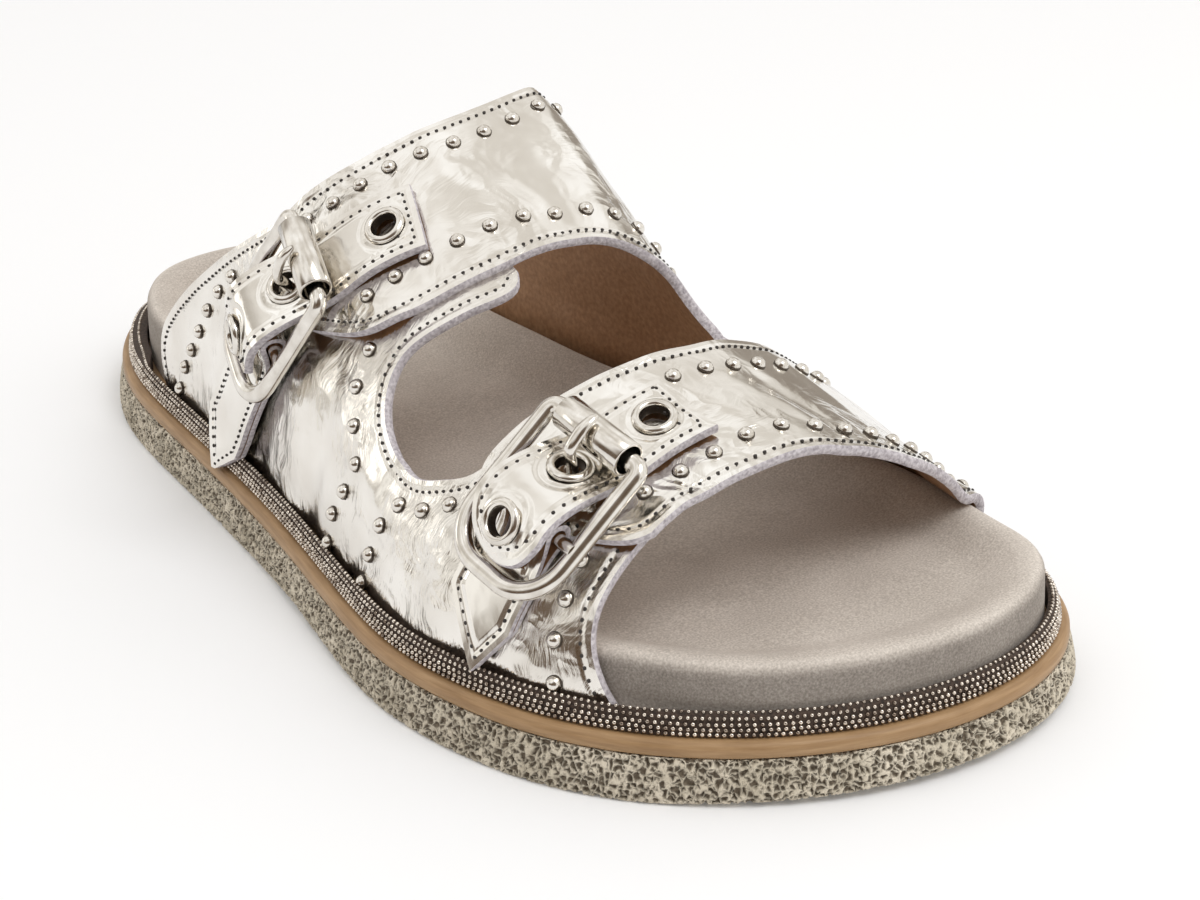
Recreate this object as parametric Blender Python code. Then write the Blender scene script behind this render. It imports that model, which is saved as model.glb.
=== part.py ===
"""Two-strap buckle slide sandal, one right shoe, at rest on its sole.

Metres, +Z up, toe toward -Y, outer side toward -X, origin at the middle of the footprint.
Shapes are worked out in millimetres as x (outer side negative), s (station from the heel) and z.
"""

import math

import bmesh
import bpy
import numpy as np
from mathutils.geometry import delaunay_2d_cdt

for old in list(bpy.data.objects):
    bpy.data.objects.remove(old, do_unlink=True)

# Main sizes, millimetres
MM = 0.001
LENGTH = 262.0
TOE_X = 10.9
HEEL_TIP = (1.7, 3.4)
AROUND = 84

# Widest edge of the welt: station, outer x, inner x
OUTLINE = np.array([
    [7.9, -15.5, 19.0],
    [21.0, -27.5, 30.5],
    [39.3, -35.8, 36.0],
    [70.7, -41.6, 36.2],
    [99.6, -45.4, 34.2],
    [131.0, -50.6, 35.6],
    [159.8, -56.6, 43.0],
    [183.4, -59.6, 50.6],
    [201.7, -57.8, 54.0],
    [217.5, -53.2, 54.0],
    [233.2, -44.0, 51.4],
    [247.6, -29.2, 44.6],
    [256.8, -13.2, 33.6],
])

# Upper sections: station, crest x, crest z, outer fullness, inner fullness, girth that arc shares refer to
SECTIONS = np.array([
    [40.0, 10.0, 96.0, 2.20, 2.60, 197.1],
    [80.0, 14.0, 93.0, 2.20, 2.80, 195.8],
    [110.0, 18.0, 87.5, 2.24, 3.10, 186.9],
    [135.0, 13.9, 77.5, 2.12, 2.63, 173.9],
    [160.0, 4.6, 65.1, 2.05, 2.00, 164.1],
    [185.0, 4.1, 58.0, 2.00, 1.68, 159.0],
    [210.0, 2.6, 50.8, 2.02, 1.60, 147.7],
    [235.0, 6.6, 45.3, 2.11, 1.65, 121.4],
    [255.0, 11.0, 38.0, 2.40, 2.50, 76.0],
])
UPPER_BASE_Z = 11.75
UPPER_BASE_OFFSET = -4.2
UPPER_WALL = 2.0
STRAP_RAISE = 1.5

# Ground contact of the outsole: station, height
GROUND = np.array([[-4.0, 0.5], [3.0, 0.0], [105.0, 0.0], [140.0, 1.0], [176.0, 0.0], [232.0, 0.0], [266.0, 1.7]])

# Footbed: station, foot offset, rim offset, outer rim z, inner rim z, middle z
FOOTBED = np.array([
    [-10.0, -6.3, -6.3, 23.4, 23.4, 19.0],
    [30.0, -6.3, -6.5, 24.0, 24.6, 17.5],
    [46.0, -6.7, -8.1, 24.0, 25.6, 17.6],
    [80.0, -6.7, -8.3, 23.6, 27.4, 19.2],
    [112.0, -6.7, -8.3, 23.0, 28.4, 21.0],
    [150.0, -6.7, -8.3, 22.6, 26.4, 20.8],
    [190.0, -6.7, -8.3, 22.4, 23.6, 18.5],
    [231.0, -6.7, -8.2, 22.7, 22.8, 19.3],
    [244.0, -4.6, -4.9, 22.8, 22.8, 19.7],
    [272.0, -4.6, -4.9, 23.0, 23.0, 20.6],
])

# Bead band: station, inner offset
BAND_INNER = np.array([[-10.0, -5.9], [38.0, -5.9], [47.0, -3.6], [232.0, -3.6], [240.0, -4.1], [272.0, -4.1]])

# Buckles share these sizes
ROLLER_HALF = 9.5
ROLLER_RADIUS = 3.0
WIRE_RADIUS = 1.3
FIT_GAP = 0.35
FRAME_HALF = 11.5
TOP_CORNER = 1.8
LOWER_CORNER = 6.0
BAR_AT = 17.6
BAR_LIFT = 5.1
ROLLER_LIFT = 8.3
LOWER_LIFT = 5.0
EYE_RADIUS = 2.75
BILLET_HALF = 8.0
BILLET_THICK = 1.8
CHAPE_HALF = 7.5
CHAPE_THICK = 2.4
EYELET_HOLE = 2.5

# Each buckle: roller station, roller arc height, downward direction, lower bar, chape tip, billet head and end, eyelets
BUCKLES = {
    "back": (125.0, 50.2, (-0.545, -0.839), 28.7, 57.5, -19.8, 25.8, (-13.8, 6.5, 20.0)),
    "front": (204.5, 45.3, (-0.10, -0.995), 26.4, 41.0, -16.8, 24.0, (-10.6, 6.0, 18.8)),
}

COLOURS = {
    "crepe": (0.48, 0.44, 0.35),
    "tan": (0.56, 0.35, 0.16),
    "beads": (0.30, 0.27, 0.24),
    "suede": (0.40, 0.37, 0.33),
    "foil": (0.66, 0.63, 0.57),
    "nickel": (0.72, 0.71, 0.69),
}


def spline(knots, values, at, closed=False):
    """Cubic curve through the values, natural at its ends or running round."""
    knots = np.asarray(knots, float)
    values = np.asarray(values, float)
    at = np.asarray(at, float)
    count = len(knots)
    step = np.diff(knots)
    shape = (-1,) + (1,) * (values.ndim - 1)
    slope = np.diff(values, axis=0) / step.reshape(shape)
    matrix = np.zeros((count, count))
    right = np.zeros(values.shape)
    for i in range(1, count - 1):
        matrix[i, i - 1:i + 2] = step[i - 1], 2 * (step[i - 1] + step[i]), step[i]
        right[i] = 6 * (slope[i] - slope[i - 1])
    matrix[0, 0] = 1
    matrix[-1, -1] = 1
    if closed:
        matrix[0, -1] = -1
        matrix[-1, 0] = 2 * step[0]
        matrix[-1, 1] = step[0]
        matrix[-1, -2] = step[-1]
        matrix[-1, -1] = 2 * step[-1]
        right[-1] = 6 * (slope[0] - slope[-1])
    bend = np.linalg.solve(matrix, right)
    i = np.clip(np.searchsorted(knots, at, side="right") - 1, 0, count - 2)
    h = step[i]
    a = (knots[i + 1] - at) / h
    b = (at - knots[i]) / h
    cube_a = (a ** 3 - a) * h * h / 6
    cube_b = (b ** 3 - b) * h * h / 6
    if values.ndim > 1:
        a, b, cube_a, cube_b = a[:, None], b[:, None], cube_a[:, None], cube_b[:, None]
    return a * values[i] + b * values[i + 1] + cube_a * bend[i] + cube_b * bend[i + 1]


def outline(count):
    """Points round the welt from the heel along the outer side, and outward normals."""
    outer = OUTLINE[:, [1, 0]]
    inner = OUTLINE[::-1][:, [2, 0]]
    loop = np.concatenate([[HEEL_TIP], outer, [[TOE_X, LENGTH]], inner, [HEEL_TIP]])
    knots = np.concatenate([[0.0], np.cumsum(np.linalg.norm(np.diff(loop, axis=0), axis=1))])
    fine = np.linspace(0.0, knots[-1], 4001)
    path = spline(knots, loop, fine, closed=True)
    run = np.concatenate([[0.0], np.cumsum(np.linalg.norm(np.diff(path, axis=0), axis=1))])
    at = np.interp(np.arange(count) * run[-1] / count, run, fine)
    points = spline(knots, loop, at, closed=True)
    ahead = np.roll(points, -1, axis=0) - np.roll(points, 1, axis=0)
    normals = np.stack([-ahead[:, 1], ahead[:, 0]], axis=1)
    normals /= np.linalg.norm(normals, axis=1)[:, None]
    if ((points - points.mean(axis=0)) * normals).sum() < 0:
        normals = -normals
    return points, normals


RING, RING_NORMAL = outline(AROUND)
FINE, FINE_NORMAL = outline(1200)


def edge_x(station, side, offset):
    """x of the offset outline at a station, outer side -1 or inner side +1."""
    points = FINE + FINE_NORMAL * offset
    top = int(points[:, 1].argmax())
    half = points[:top + 1] if side < 0 else points[top:][::-1]
    order = np.argsort(half[:, 1])
    return np.interp(station, half[order, 1], half[order, 0])


def ring_at(offset, height):
    """One ring of points at an offset from the outline, both numbers or one per point."""
    flat = RING + RING_NORMAL * np.broadcast_to(offset, (AROUND,))[:, None]
    return np.column_stack([flat, np.broadcast_to(height, (AROUND,))])


def add_object(name, points, faces, colour, metallic=0.0, roughness=0.6, sharp=40.0):
    """A mesh object from millimetre points, faces turned outward."""
    placed = np.column_stack([points[:, 0], LENGTH / 2 - points[:, 1], points[:, 2]]) * MM
    mesh = bpy.data.meshes.new(name)
    mesh.from_pydata(placed.tolist(), [], [list(map(int, face)) for face in faces])
    shell = bmesh.new()
    shell.from_mesh(mesh)
    bmesh.ops.recalc_face_normals(shell, faces=shell.faces)
    shell.to_mesh(mesh)
    shell.free()
    obj = bpy.data.objects.new(name, mesh)
    bpy.context.scene.collection.objects.link(obj)
    material = bpy.data.materials.new(name)
    material.use_nodes = True
    shader = material.node_tree.nodes["Principled BSDF"]
    shader.inputs["Base Color"].default_value = (*COLOURS[colour], 1.0)
    shader.inputs["Metallic"].default_value = metallic
    shader.inputs["Roughness"].default_value = roughness
    mesh.materials.append(material)
    mesh.shade_smooth()
    mesh.set_sharp_from_angle(angle=math.radians(sharp))
    return obj


def combine(obj, other, operation):
    """Boolean of two objects, kept on the first; the second is removed."""
    modifier = obj.modifiers.new("combine", "BOOLEAN")
    modifier.operation = operation
    modifier.solver = "EXACT"
    modifier.object = other
    graph = bpy.context.evaluated_depsgraph_get()
    made = bpy.data.meshes.new_from_object(obj.evaluated_get(graph))
    obj.modifiers.clear()
    obj.data = made
    bpy.data.objects.remove(other, do_unlink=True)
    return obj


def ladder(first, count):
    """Faces across a ring whose points run out along one side and back along the other."""
    rungs = []
    for i in range(count // 2):
        corners = [first + i, first + i + 1, first + (count - i - 1) % count, first + (count - i) % count]
        rungs.append(list(dict.fromkeys(corners)))
    return rungs


def stack(rings, closed):
    """Faces between rings of equal count, running round to the first ring when closed."""
    count = len(rings[0])
    faces = []
    for k in range(len(rings) if closed else len(rings) - 1):
        low = k * count
        high = ((k + 1) % len(rings)) * count
        for i in range(count):
            j = (i + 1) % count
            faces.append([low + i, low + j, high + j, high + i])
    if not closed:
        faces += ladder(0, count) + ladder((len(rings) - 1) * count, count)
    return np.concatenate(rings), faces


# Outsole: crepe slab, a little wider at the ground, toe sprung
def ground(offset):
    stations = (RING + RING_NORMAL * offset)[:, 1]
    rise = np.interp(stations, GROUND[:, 0], GROUND[:, 1])
    return rise


outsole_rings = [
    ring_at(0.9, ground(0.9)),
    ring_at(1.5, ground(1.5) + 0.9),
    ring_at(1.1, 4.6),
    ring_at(0.2, 8.0),
    ring_at(-0.3, 8.4),
]
points, faces = stack(outsole_rings, closed=False)
add_object("outsole", points, faces, "crepe", roughness=0.9)

# Midsole: tan welt plate with a rounded upper edge
points, faces = stack([ring_at(0.0, 8.7), ring_at(0.1, 9.9), ring_at(-0.5, 11.0), ring_at(-1.7, 11.4)], closed=False)
add_object("midsole", points, faces, "tan", roughness=0.6)

# Bead band: ring standing on the welt, leaning in
band_inner = np.interp(RING[:, 1], BAND_INNER[:, 0], BAND_INNER[:, 1])
band_rings = [
    ring_at(-2.0, 11.7),
    ring_at(-2.25, 13.8),
    ring_at(-2.75, 15.5),
    ring_at((band_inner - 2.75) / 2, 15.9),
    ring_at(band_inner, 15.6),
    ring_at(band_inner, 11.7),
]
points, faces = stack(band_rings, closed=True)
add_object("bead_band", points, faces, "beads", metallic=0.6, roughness=0.4)

# Footbed: suede block, rounded rim, dished toe and heel cup, raised inner arch
bed = {name: np.interp(RING[:, 1], FOOTBED[:, 0], FOOTBED[:, k])
       for k, name in enumerate(("station", "foot", "rim", "outer", "inner", "middle"))}
inner_share = 1 / (1 + np.exp(-RING[:, 0] / 6.0))
rim_z = bed["outer"] * (1 - inner_share) + bed["inner"] * inner_share
rim_off = bed["rim"]
spine_s = np.clip(RING[:, 1], 36.0, 222.0)
spine_x = (edge_x(spine_s, -1, -6.0) + edge_x(spine_s, 1, -6.0)) / 2
wall = ring_at(rim_off, rim_z - 3.4)
bed_rings = [ring_at(bed["foot"], 11.7), wall, ring_at(rim_off - 0.9, rim_z - 1.1)]
for share in (0.08, 0.17, 0.30, 0.46, 0.66):
    flat = wall[:, :2] * (1 - share)
    flat = flat + share * np.column_stack([spine_x, spine_s])
    deep = np.linalg.norm(flat - wall[:, :2], axis=1)
    fall = 0.5 + 0.5 * np.cos(math.pi * np.clip((deep - 3.2) / 21.0, 0.0, 1.0))
    middle = np.interp(flat[:, 1], FOOTBED[:, 0], FOOTBED[:, 5])
    bed_rings.append(np.column_stack([flat, middle + (rim_z - middle) * fall]))
points, faces = stack(bed_rings, closed=False)
add_object("footbed", points, faces, "suede", roughness=0.95, sharp=60.0)


# Upper surface: arched sections lofted along the foot, addressed by station and arc share
GRID_S = np.arange(44.0, 252.0, 2.0)
GRID_T = np.linspace(0.0, 1.0, 161)


def section(station):
    """Points across one section from the outer base to the inner base, by arc share, and its lay girth.
    The inner wall stands clear of the footbed's rim before it leans in."""
    crest_x, crest_z, full_outer, full_inner, lay = spline(SECTIONS[:, 0], SECTIONS[:, 1:], np.array([station]))[0]
    outer_x = edge_x(station, -1, UPPER_BASE_OFFSET)
    inner_x = edge_x(station, 1, UPPER_BASE_OFFSET)
    angle = np.linspace(0.0, math.pi, 241)
    across = np.cos(angle)
    rise = np.clip(np.sin(angle), 0.0, 1.0)
    full = np.where(across > 0, full_outer, full_inner)
    reach = np.abs(across) ** (2 / full)
    x = np.where(across > 0, crest_x - (crest_x - outer_x) * reach, crest_x + (inner_x - crest_x) * reach)
    z = UPPER_BASE_Z + (crest_z - UPPER_BASE_Z) * rise ** (2 / full)
    above = np.maximum(0.0, z - np.interp(station, FOOTBED[:, 0], FOOTBED[:, 4]) + 2.4)
    wall = inner_x - 6.35 + np.sqrt(np.maximum(0.0, 4.95 ** 2 - above ** 2)) - 3 * np.maximum(0.0, above - 4.95)
    x = np.where(across < 0, (x + wall + np.sqrt((x - wall) ** 2 + 0.5)) / 2, x)
    run = np.concatenate([[0.0], np.cumsum(np.hypot(np.diff(x), np.diff(z)))])
    at = np.where(GRID_T < 0.5, GRID_T * lay, 0.5 * lay + (2 * GRID_T - 1) * (run[-1] - 0.5 * lay))
    return np.interp(at, run, x), np.interp(at, run, z), lay


SURFACE = np.zeros((len(GRID_S), len(GRID_T), 3))
GIRTH = np.zeros(len(GRID_S))
for row, station in enumerate(GRID_S):
    SURFACE[row, :, 0], SURFACE[row, :, 2], GIRTH[row] = section(station)
    SURFACE[row, :, 1] = station
along = np.gradient(SURFACE, axis=0)
across = np.gradient(SURFACE, axis=1)
NORMAL = np.cross(along, across)
NORMAL /= np.linalg.norm(NORMAL, axis=2)[:, :, None]
inside = np.stack([SURFACE[:, :, 0] * 0 + 5.0, SURFACE[:, :, 1], SURFACE[:, :, 2] * 0 + 15.0], axis=2)
if ((SURFACE - inside) * NORMAL).sum() < 0:
    NORMAL = -NORMAL


def blend(grid, station, share):
    """Bilinear reading of a grid over station and arc share."""
    u = np.clip((np.asarray(station, float) - GRID_S[0]) / 2.0, 0.0, len(GRID_S) - 1.001)
    v = np.clip(np.asarray(share, float) * (len(GRID_T) - 1), 0.0, len(GRID_T) - 1.001)
    i = u.astype(int)
    j = v.astype(int)
    p = (u - i)[..., None]
    q = (v - j)[..., None]
    low = grid[i, j] * (1 - p) + grid[i + 1, j] * p
    high = grid[i, j + 1] * (1 - p) + grid[i + 1, j + 1] * p
    return low * (1 - q) + high * q


def on_upper(station, share, lift):
    """Point above the upper's outer surface; on the base line the lift is level."""
    normal = blend(NORMAL, station, share)
    level = np.clip(1 - np.asarray(share, float) / 0.03, 0.0, 1.0) + np.clip((np.asarray(share, float) - 0.97) / 0.03, 0, 1)
    normal = normal.copy()
    normal[..., 2] *= 1 - level
    normal /= np.linalg.norm(normal, axis=-1)[..., None]
    return blend(SURFACE, station, share) + normal * np.asarray(lift, float)[..., None]


def smooth_path(rows, step):
    """Curve through rows of two columns, cut to about one step; the end point is left to the next path."""
    rows = np.asarray(rows, float)
    knots = np.concatenate([[0.0], np.cumsum(np.linalg.norm(np.diff(rows, axis=0), axis=1) ** 0.5)])
    fine = np.linspace(0, knots[-1], 400)
    path = spline(knots, rows, fine) if len(rows) > 2 else rows[0] + (rows[1] - rows[0]) * (fine / fine[-1])[:, None]
    run = np.concatenate([[0.0], np.cumsum(np.linalg.norm(np.diff(path, axis=0), axis=1))])
    count = max(1, int(round(run[-1] / step)))
    at = np.interp(np.arange(count) * run[-1] / count, run, fine)
    return np.column_stack([np.interp(at, fine, path[:, 0]), np.interp(at, fine, path[:, 1])])


def inside_loops(points, loops):
    """Even-odd test of points against closed loops."""
    found = np.zeros(len(points), bool)
    for loop in loops:
        after = np.roll(loop, -1, axis=0)
        for a, b in zip(loop, after):
            crosses = (a[1] > points[:, 1]) != (b[1] > points[:, 1])
            if crosses.any():
                at = a[0] + (points[:, 1] - a[1]) * (b[0] - a[0]) / (b[1] - a[1] + 1e-12)
                found ^= crosses & (points[:, 0] < at)
    return found


def sheet(loops, step, outer, inner):
    """A plate between two mapped faces: loops bound it in the plane, outer and inner map plane points."""
    edge = np.concatenate(loops)
    low = edge.min(axis=0)
    high = edge.max(axis=0)
    rows = []
    for k, v in enumerate(np.arange(low[1] + step / 2, high[1], step * 0.87)):
        u = np.arange(low[0] + step / 2 * (1 + k % 2), high[0], step)
        rows.append(np.column_stack([u, np.full(len(u), v)]))
    grid = np.concatenate(rows)
    grid = grid[inside_loops(grid, loops)]
    near = np.min(np.linalg.norm(grid[:, None, :] - edge[None, :, :], axis=2), axis=1)
    grid = grid[near > step * 0.55]
    flat = np.concatenate([edge, grid])
    edges = []
    first = 0
    for loop in loops:
        size = len(loop)
        edges += [(first + i, first + (i + 1) % size) for i in range(size)]
        first += size
    found = delaunay_2d_cdt([tuple(p) for p in flat], edges, [], 0, 1e-6)
    flat = np.array([tuple(p) for p in found[0]])
    triangles = np.array([list(face) for face in found[2]])
    keep = inside_loops(flat[triangles].mean(axis=1), loops)
    triangles = triangles[keep]
    sides = np.concatenate([triangles[:, [0, 1]], triangles[:, [1, 2]], triangles[:, [2, 0]]])
    ordered = np.sort(sides, axis=1)
    _, index, times = np.unique(ordered, axis=0, return_inverse=True, return_counts=True)
    border = sides[times[index.reshape(-1)] == 1]
    count = len(flat)
    walls = np.column_stack([border[:, 1], border[:, 0], border[:, 0] + count, border[:, 1] + count])
    points = np.concatenate([outer(flat), inner(flat)])
    faces = triangles.tolist() + (triangles[:, ::-1] + count).tolist() + walls.tolist()
    used = np.unique(np.concatenate([np.asarray(face) for face in faces]))
    renamed = np.full(len(points), -1)
    renamed[used] = np.arange(len(used))
    return points[used], [[int(renamed[i]) for i in face] for face in faces]


# Upper: main sheet of inner panel and two straps, lapped over the outer panel sheet, joined as one shell
PLAN = 170.0
REAR_EDGE = [(63, 1.0), (73, 0.93), (84, 0.865), (92, 0.815), (104, 0.74), (115, 0.65), (119.5, 0.54), (117, 0.42),
             (106, 0.32), (96.5, 0.265)]
BACK_TIP = [(96.5, 0.265), (103, 0.228), (113, 0.212), (124, 0.215), (135, 0.235), (143.5, 0.26), (147.5, 0.29),
            (150, 0.32), (152, 0.35), (154, 0.39), (155.5, 0.44), (156, 0.52), (159, 0.64), (158, 0.71),
            (160, 0.76), (167, 0.79), (177, 0.785),
            (186, 0.745), (190, 0.675), (191, 0.565), (191.5, 0.5), (189.5, 0.40), (186.5, 0.29)]
FRONT_TIP = [(186.5, 0.29), (186.5, 0.225), (189.5, 0.205), (196, 0.195), (204, 0.195), (213, 0.205), (219.5, 0.222),
             (221.5, 0.24)]
FRONT_EDGE = [(221.5, 0.24), (223, 0.36), (226, 0.5), (227.5, 0.62), (227, 0.72), (225, 0.82), (223, 0.90), (222, 1.0)]
INNER_BASE = [(222, 1.0), (63, 1.0)]
PANEL_REAR = [(119.5, 0.44), (108.5, 0.32), (100.5, 0.275), (88, 0.222), (64, 0.12), (55.5, 0.06), (58, 0.0)]
PANEL_BASE = [(58, 0.0), (228, 0.0)]
PANEL_FRONT = [(228, 0.0), (222, 0.08), (220, 0.13), (219.5, 0.20), (219.5, 0.30), (219, 0.40)]
PANEL_FRONT_END = [(219, 0.40), (189.5, 0.385)]
PANEL_CUTOUT = [(189.5, 0.385), (187.5, 0.29), (185, 0.215), (179, 0.188), (172, 0.172), (163, 0.183), (156, 0.21),
                (153, 0.245), (152.8, 0.27), (154, 0.297), (156, 0.327), (158, 0.36), (160, 0.397), (159.6, 0.42),
                (157, 0.432)]
PANEL_BACK_END = [(157, 0.432), (119.5, 0.44)]


def plan_loop(paths, step):
    """One closed loop in the plan from paths of station and arc share."""
    return np.concatenate([smooth_path(np.array(rows) * [1.0, PLAN], step) for rows in paths])


def strap_lift(share):
    """Height of the straps where they lap over the outer panel."""
    return STRAP_RAISE * (0.5 + 0.5 * np.cos(math.pi * np.clip((share - 0.44) / 0.10, 0.0, 1.0)))


def upper_face(depth, lapped):
    """Map from the plan to a face of the upper at a depth below its outer surface."""
    def face(flat):
        share = flat[:, 1] / PLAN
        lift = strap_lift(share) if lapped else np.zeros(len(share))
        return on_upper(flat[:, 0], share, lift - depth)
    return face


strap_loop = plan_loop([REAR_EDGE, BACK_TIP, FRONT_TIP, FRONT_EDGE, INNER_BASE], 4.2)
points, faces = sheet([strap_loop], 7.0, upper_face(0.0, True), upper_face(UPPER_WALL, True))
upper = add_object("upper", points, faces, "foil", metallic=0.85, roughness=0.25, sharp=35.0)
panel_loop = plan_loop([PANEL_REAR, PANEL_BASE, PANEL_FRONT, PANEL_FRONT_END, PANEL_CUTOUT, PANEL_BACK_END], 4.2)
points, faces = sheet([panel_loop], 7.0, upper_face(0.0, False), upper_face(UPPER_WALL, False))
panel = add_object("panel", points, faces, "foil", metallic=0.85, roughness=0.25, sharp=35.0)
combine(upper, panel, "UNION")


# Buckle shapes
def lathe(profile, segments, centre, axis, start):
    """A ring from a closed profile of radius and height, turned about an axis."""
    side = np.cross(axis, start)
    turns = np.arange(segments) * 2 * math.pi / segments
    rings = []
    for radius, height in profile:
        flat = np.cos(turns)[:, None] * start + np.sin(turns)[:, None] * side
        rings.append(centre + axis * height + flat * radius)
    return stack(rings, closed=True)


def wire(path, radius, segments, closed, up):
    """A round wire along a path in one plane; up is across that plane. A float array of radii tapers it."""
    path = np.asarray(path, float)
    radii = np.broadcast_to(radius, (len(path),))
    ahead = np.roll(path, -1, axis=0) - np.roll(path, 1, axis=0)
    if not closed:
        ahead[0] = path[1] - path[0]
        ahead[-1] = path[-1] - path[-2]
    ahead /= np.linalg.norm(ahead, axis=1)[:, None]
    side = np.cross(ahead, up)
    side /= np.linalg.norm(side, axis=1)[:, None]
    turns = (np.arange(segments) + 0.5) * 2 * math.pi / segments
    rings = []
    for p, s, r in zip(path, side, radii):
        rings.append(p + r * (np.cos(turns)[:, None] * s + np.sin(turns)[:, None] * up))
    if closed:
        return stack(rings, closed=True)
    points, faces = stack(rings, closed=True)
    faces = faces[:(len(rings) - 1) * segments]
    faces += [list(range(segments)), list(range((len(rings) - 1) * segments, len(rings) * segments))]
    return points, faces


# Billet lift above the upper along its length: distance below the roller, lift of its under face
BILLET_LIFT = np.array([[-24.0, 1.85], [-6.0, 1.85], [0.5, 1.9], [2.5, 2.5], [6.5, 4.5], [10.5, 6.7], [13.5, 8.1],
                        [16.5, 8.6], [20.0, 7.4], [24.0, 5.2], [28.0, 3.2]])
# Chape under face: distance below the roller, lift
CHAPE_LIFT = np.array([[19.0, 1.95], [20.5, 1.85], [25.0, 0.45], [34.0, 0.40], [60.0, 0.40]])
# Chape over the band: height up the side along the arc, lift
CHAPE_BASE = np.array([[0.0, 2.9], [2.5, 2.5], [5.5, 1.8], [8.5, 0.9], [12.0, 0.45], [30.0, 0.4]])
# Prong path, each from its own mark: along the frame, up from it
PRONG_FROM_BAR = [(-2.2, -0.6), (-4.6, -1.6)]
PRONG_FROM_HOLE = [(2.9, -1.0), (1.2, -1.1), (0.0, 0.1), (-0.9, 1.7), (-1.7, 3.4)]
PRONG_FROM_ROLLER = [(4.5, 3.75), (2.3, 4.3), (0.0, 4.5), (-2.6, 3.75)]

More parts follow.
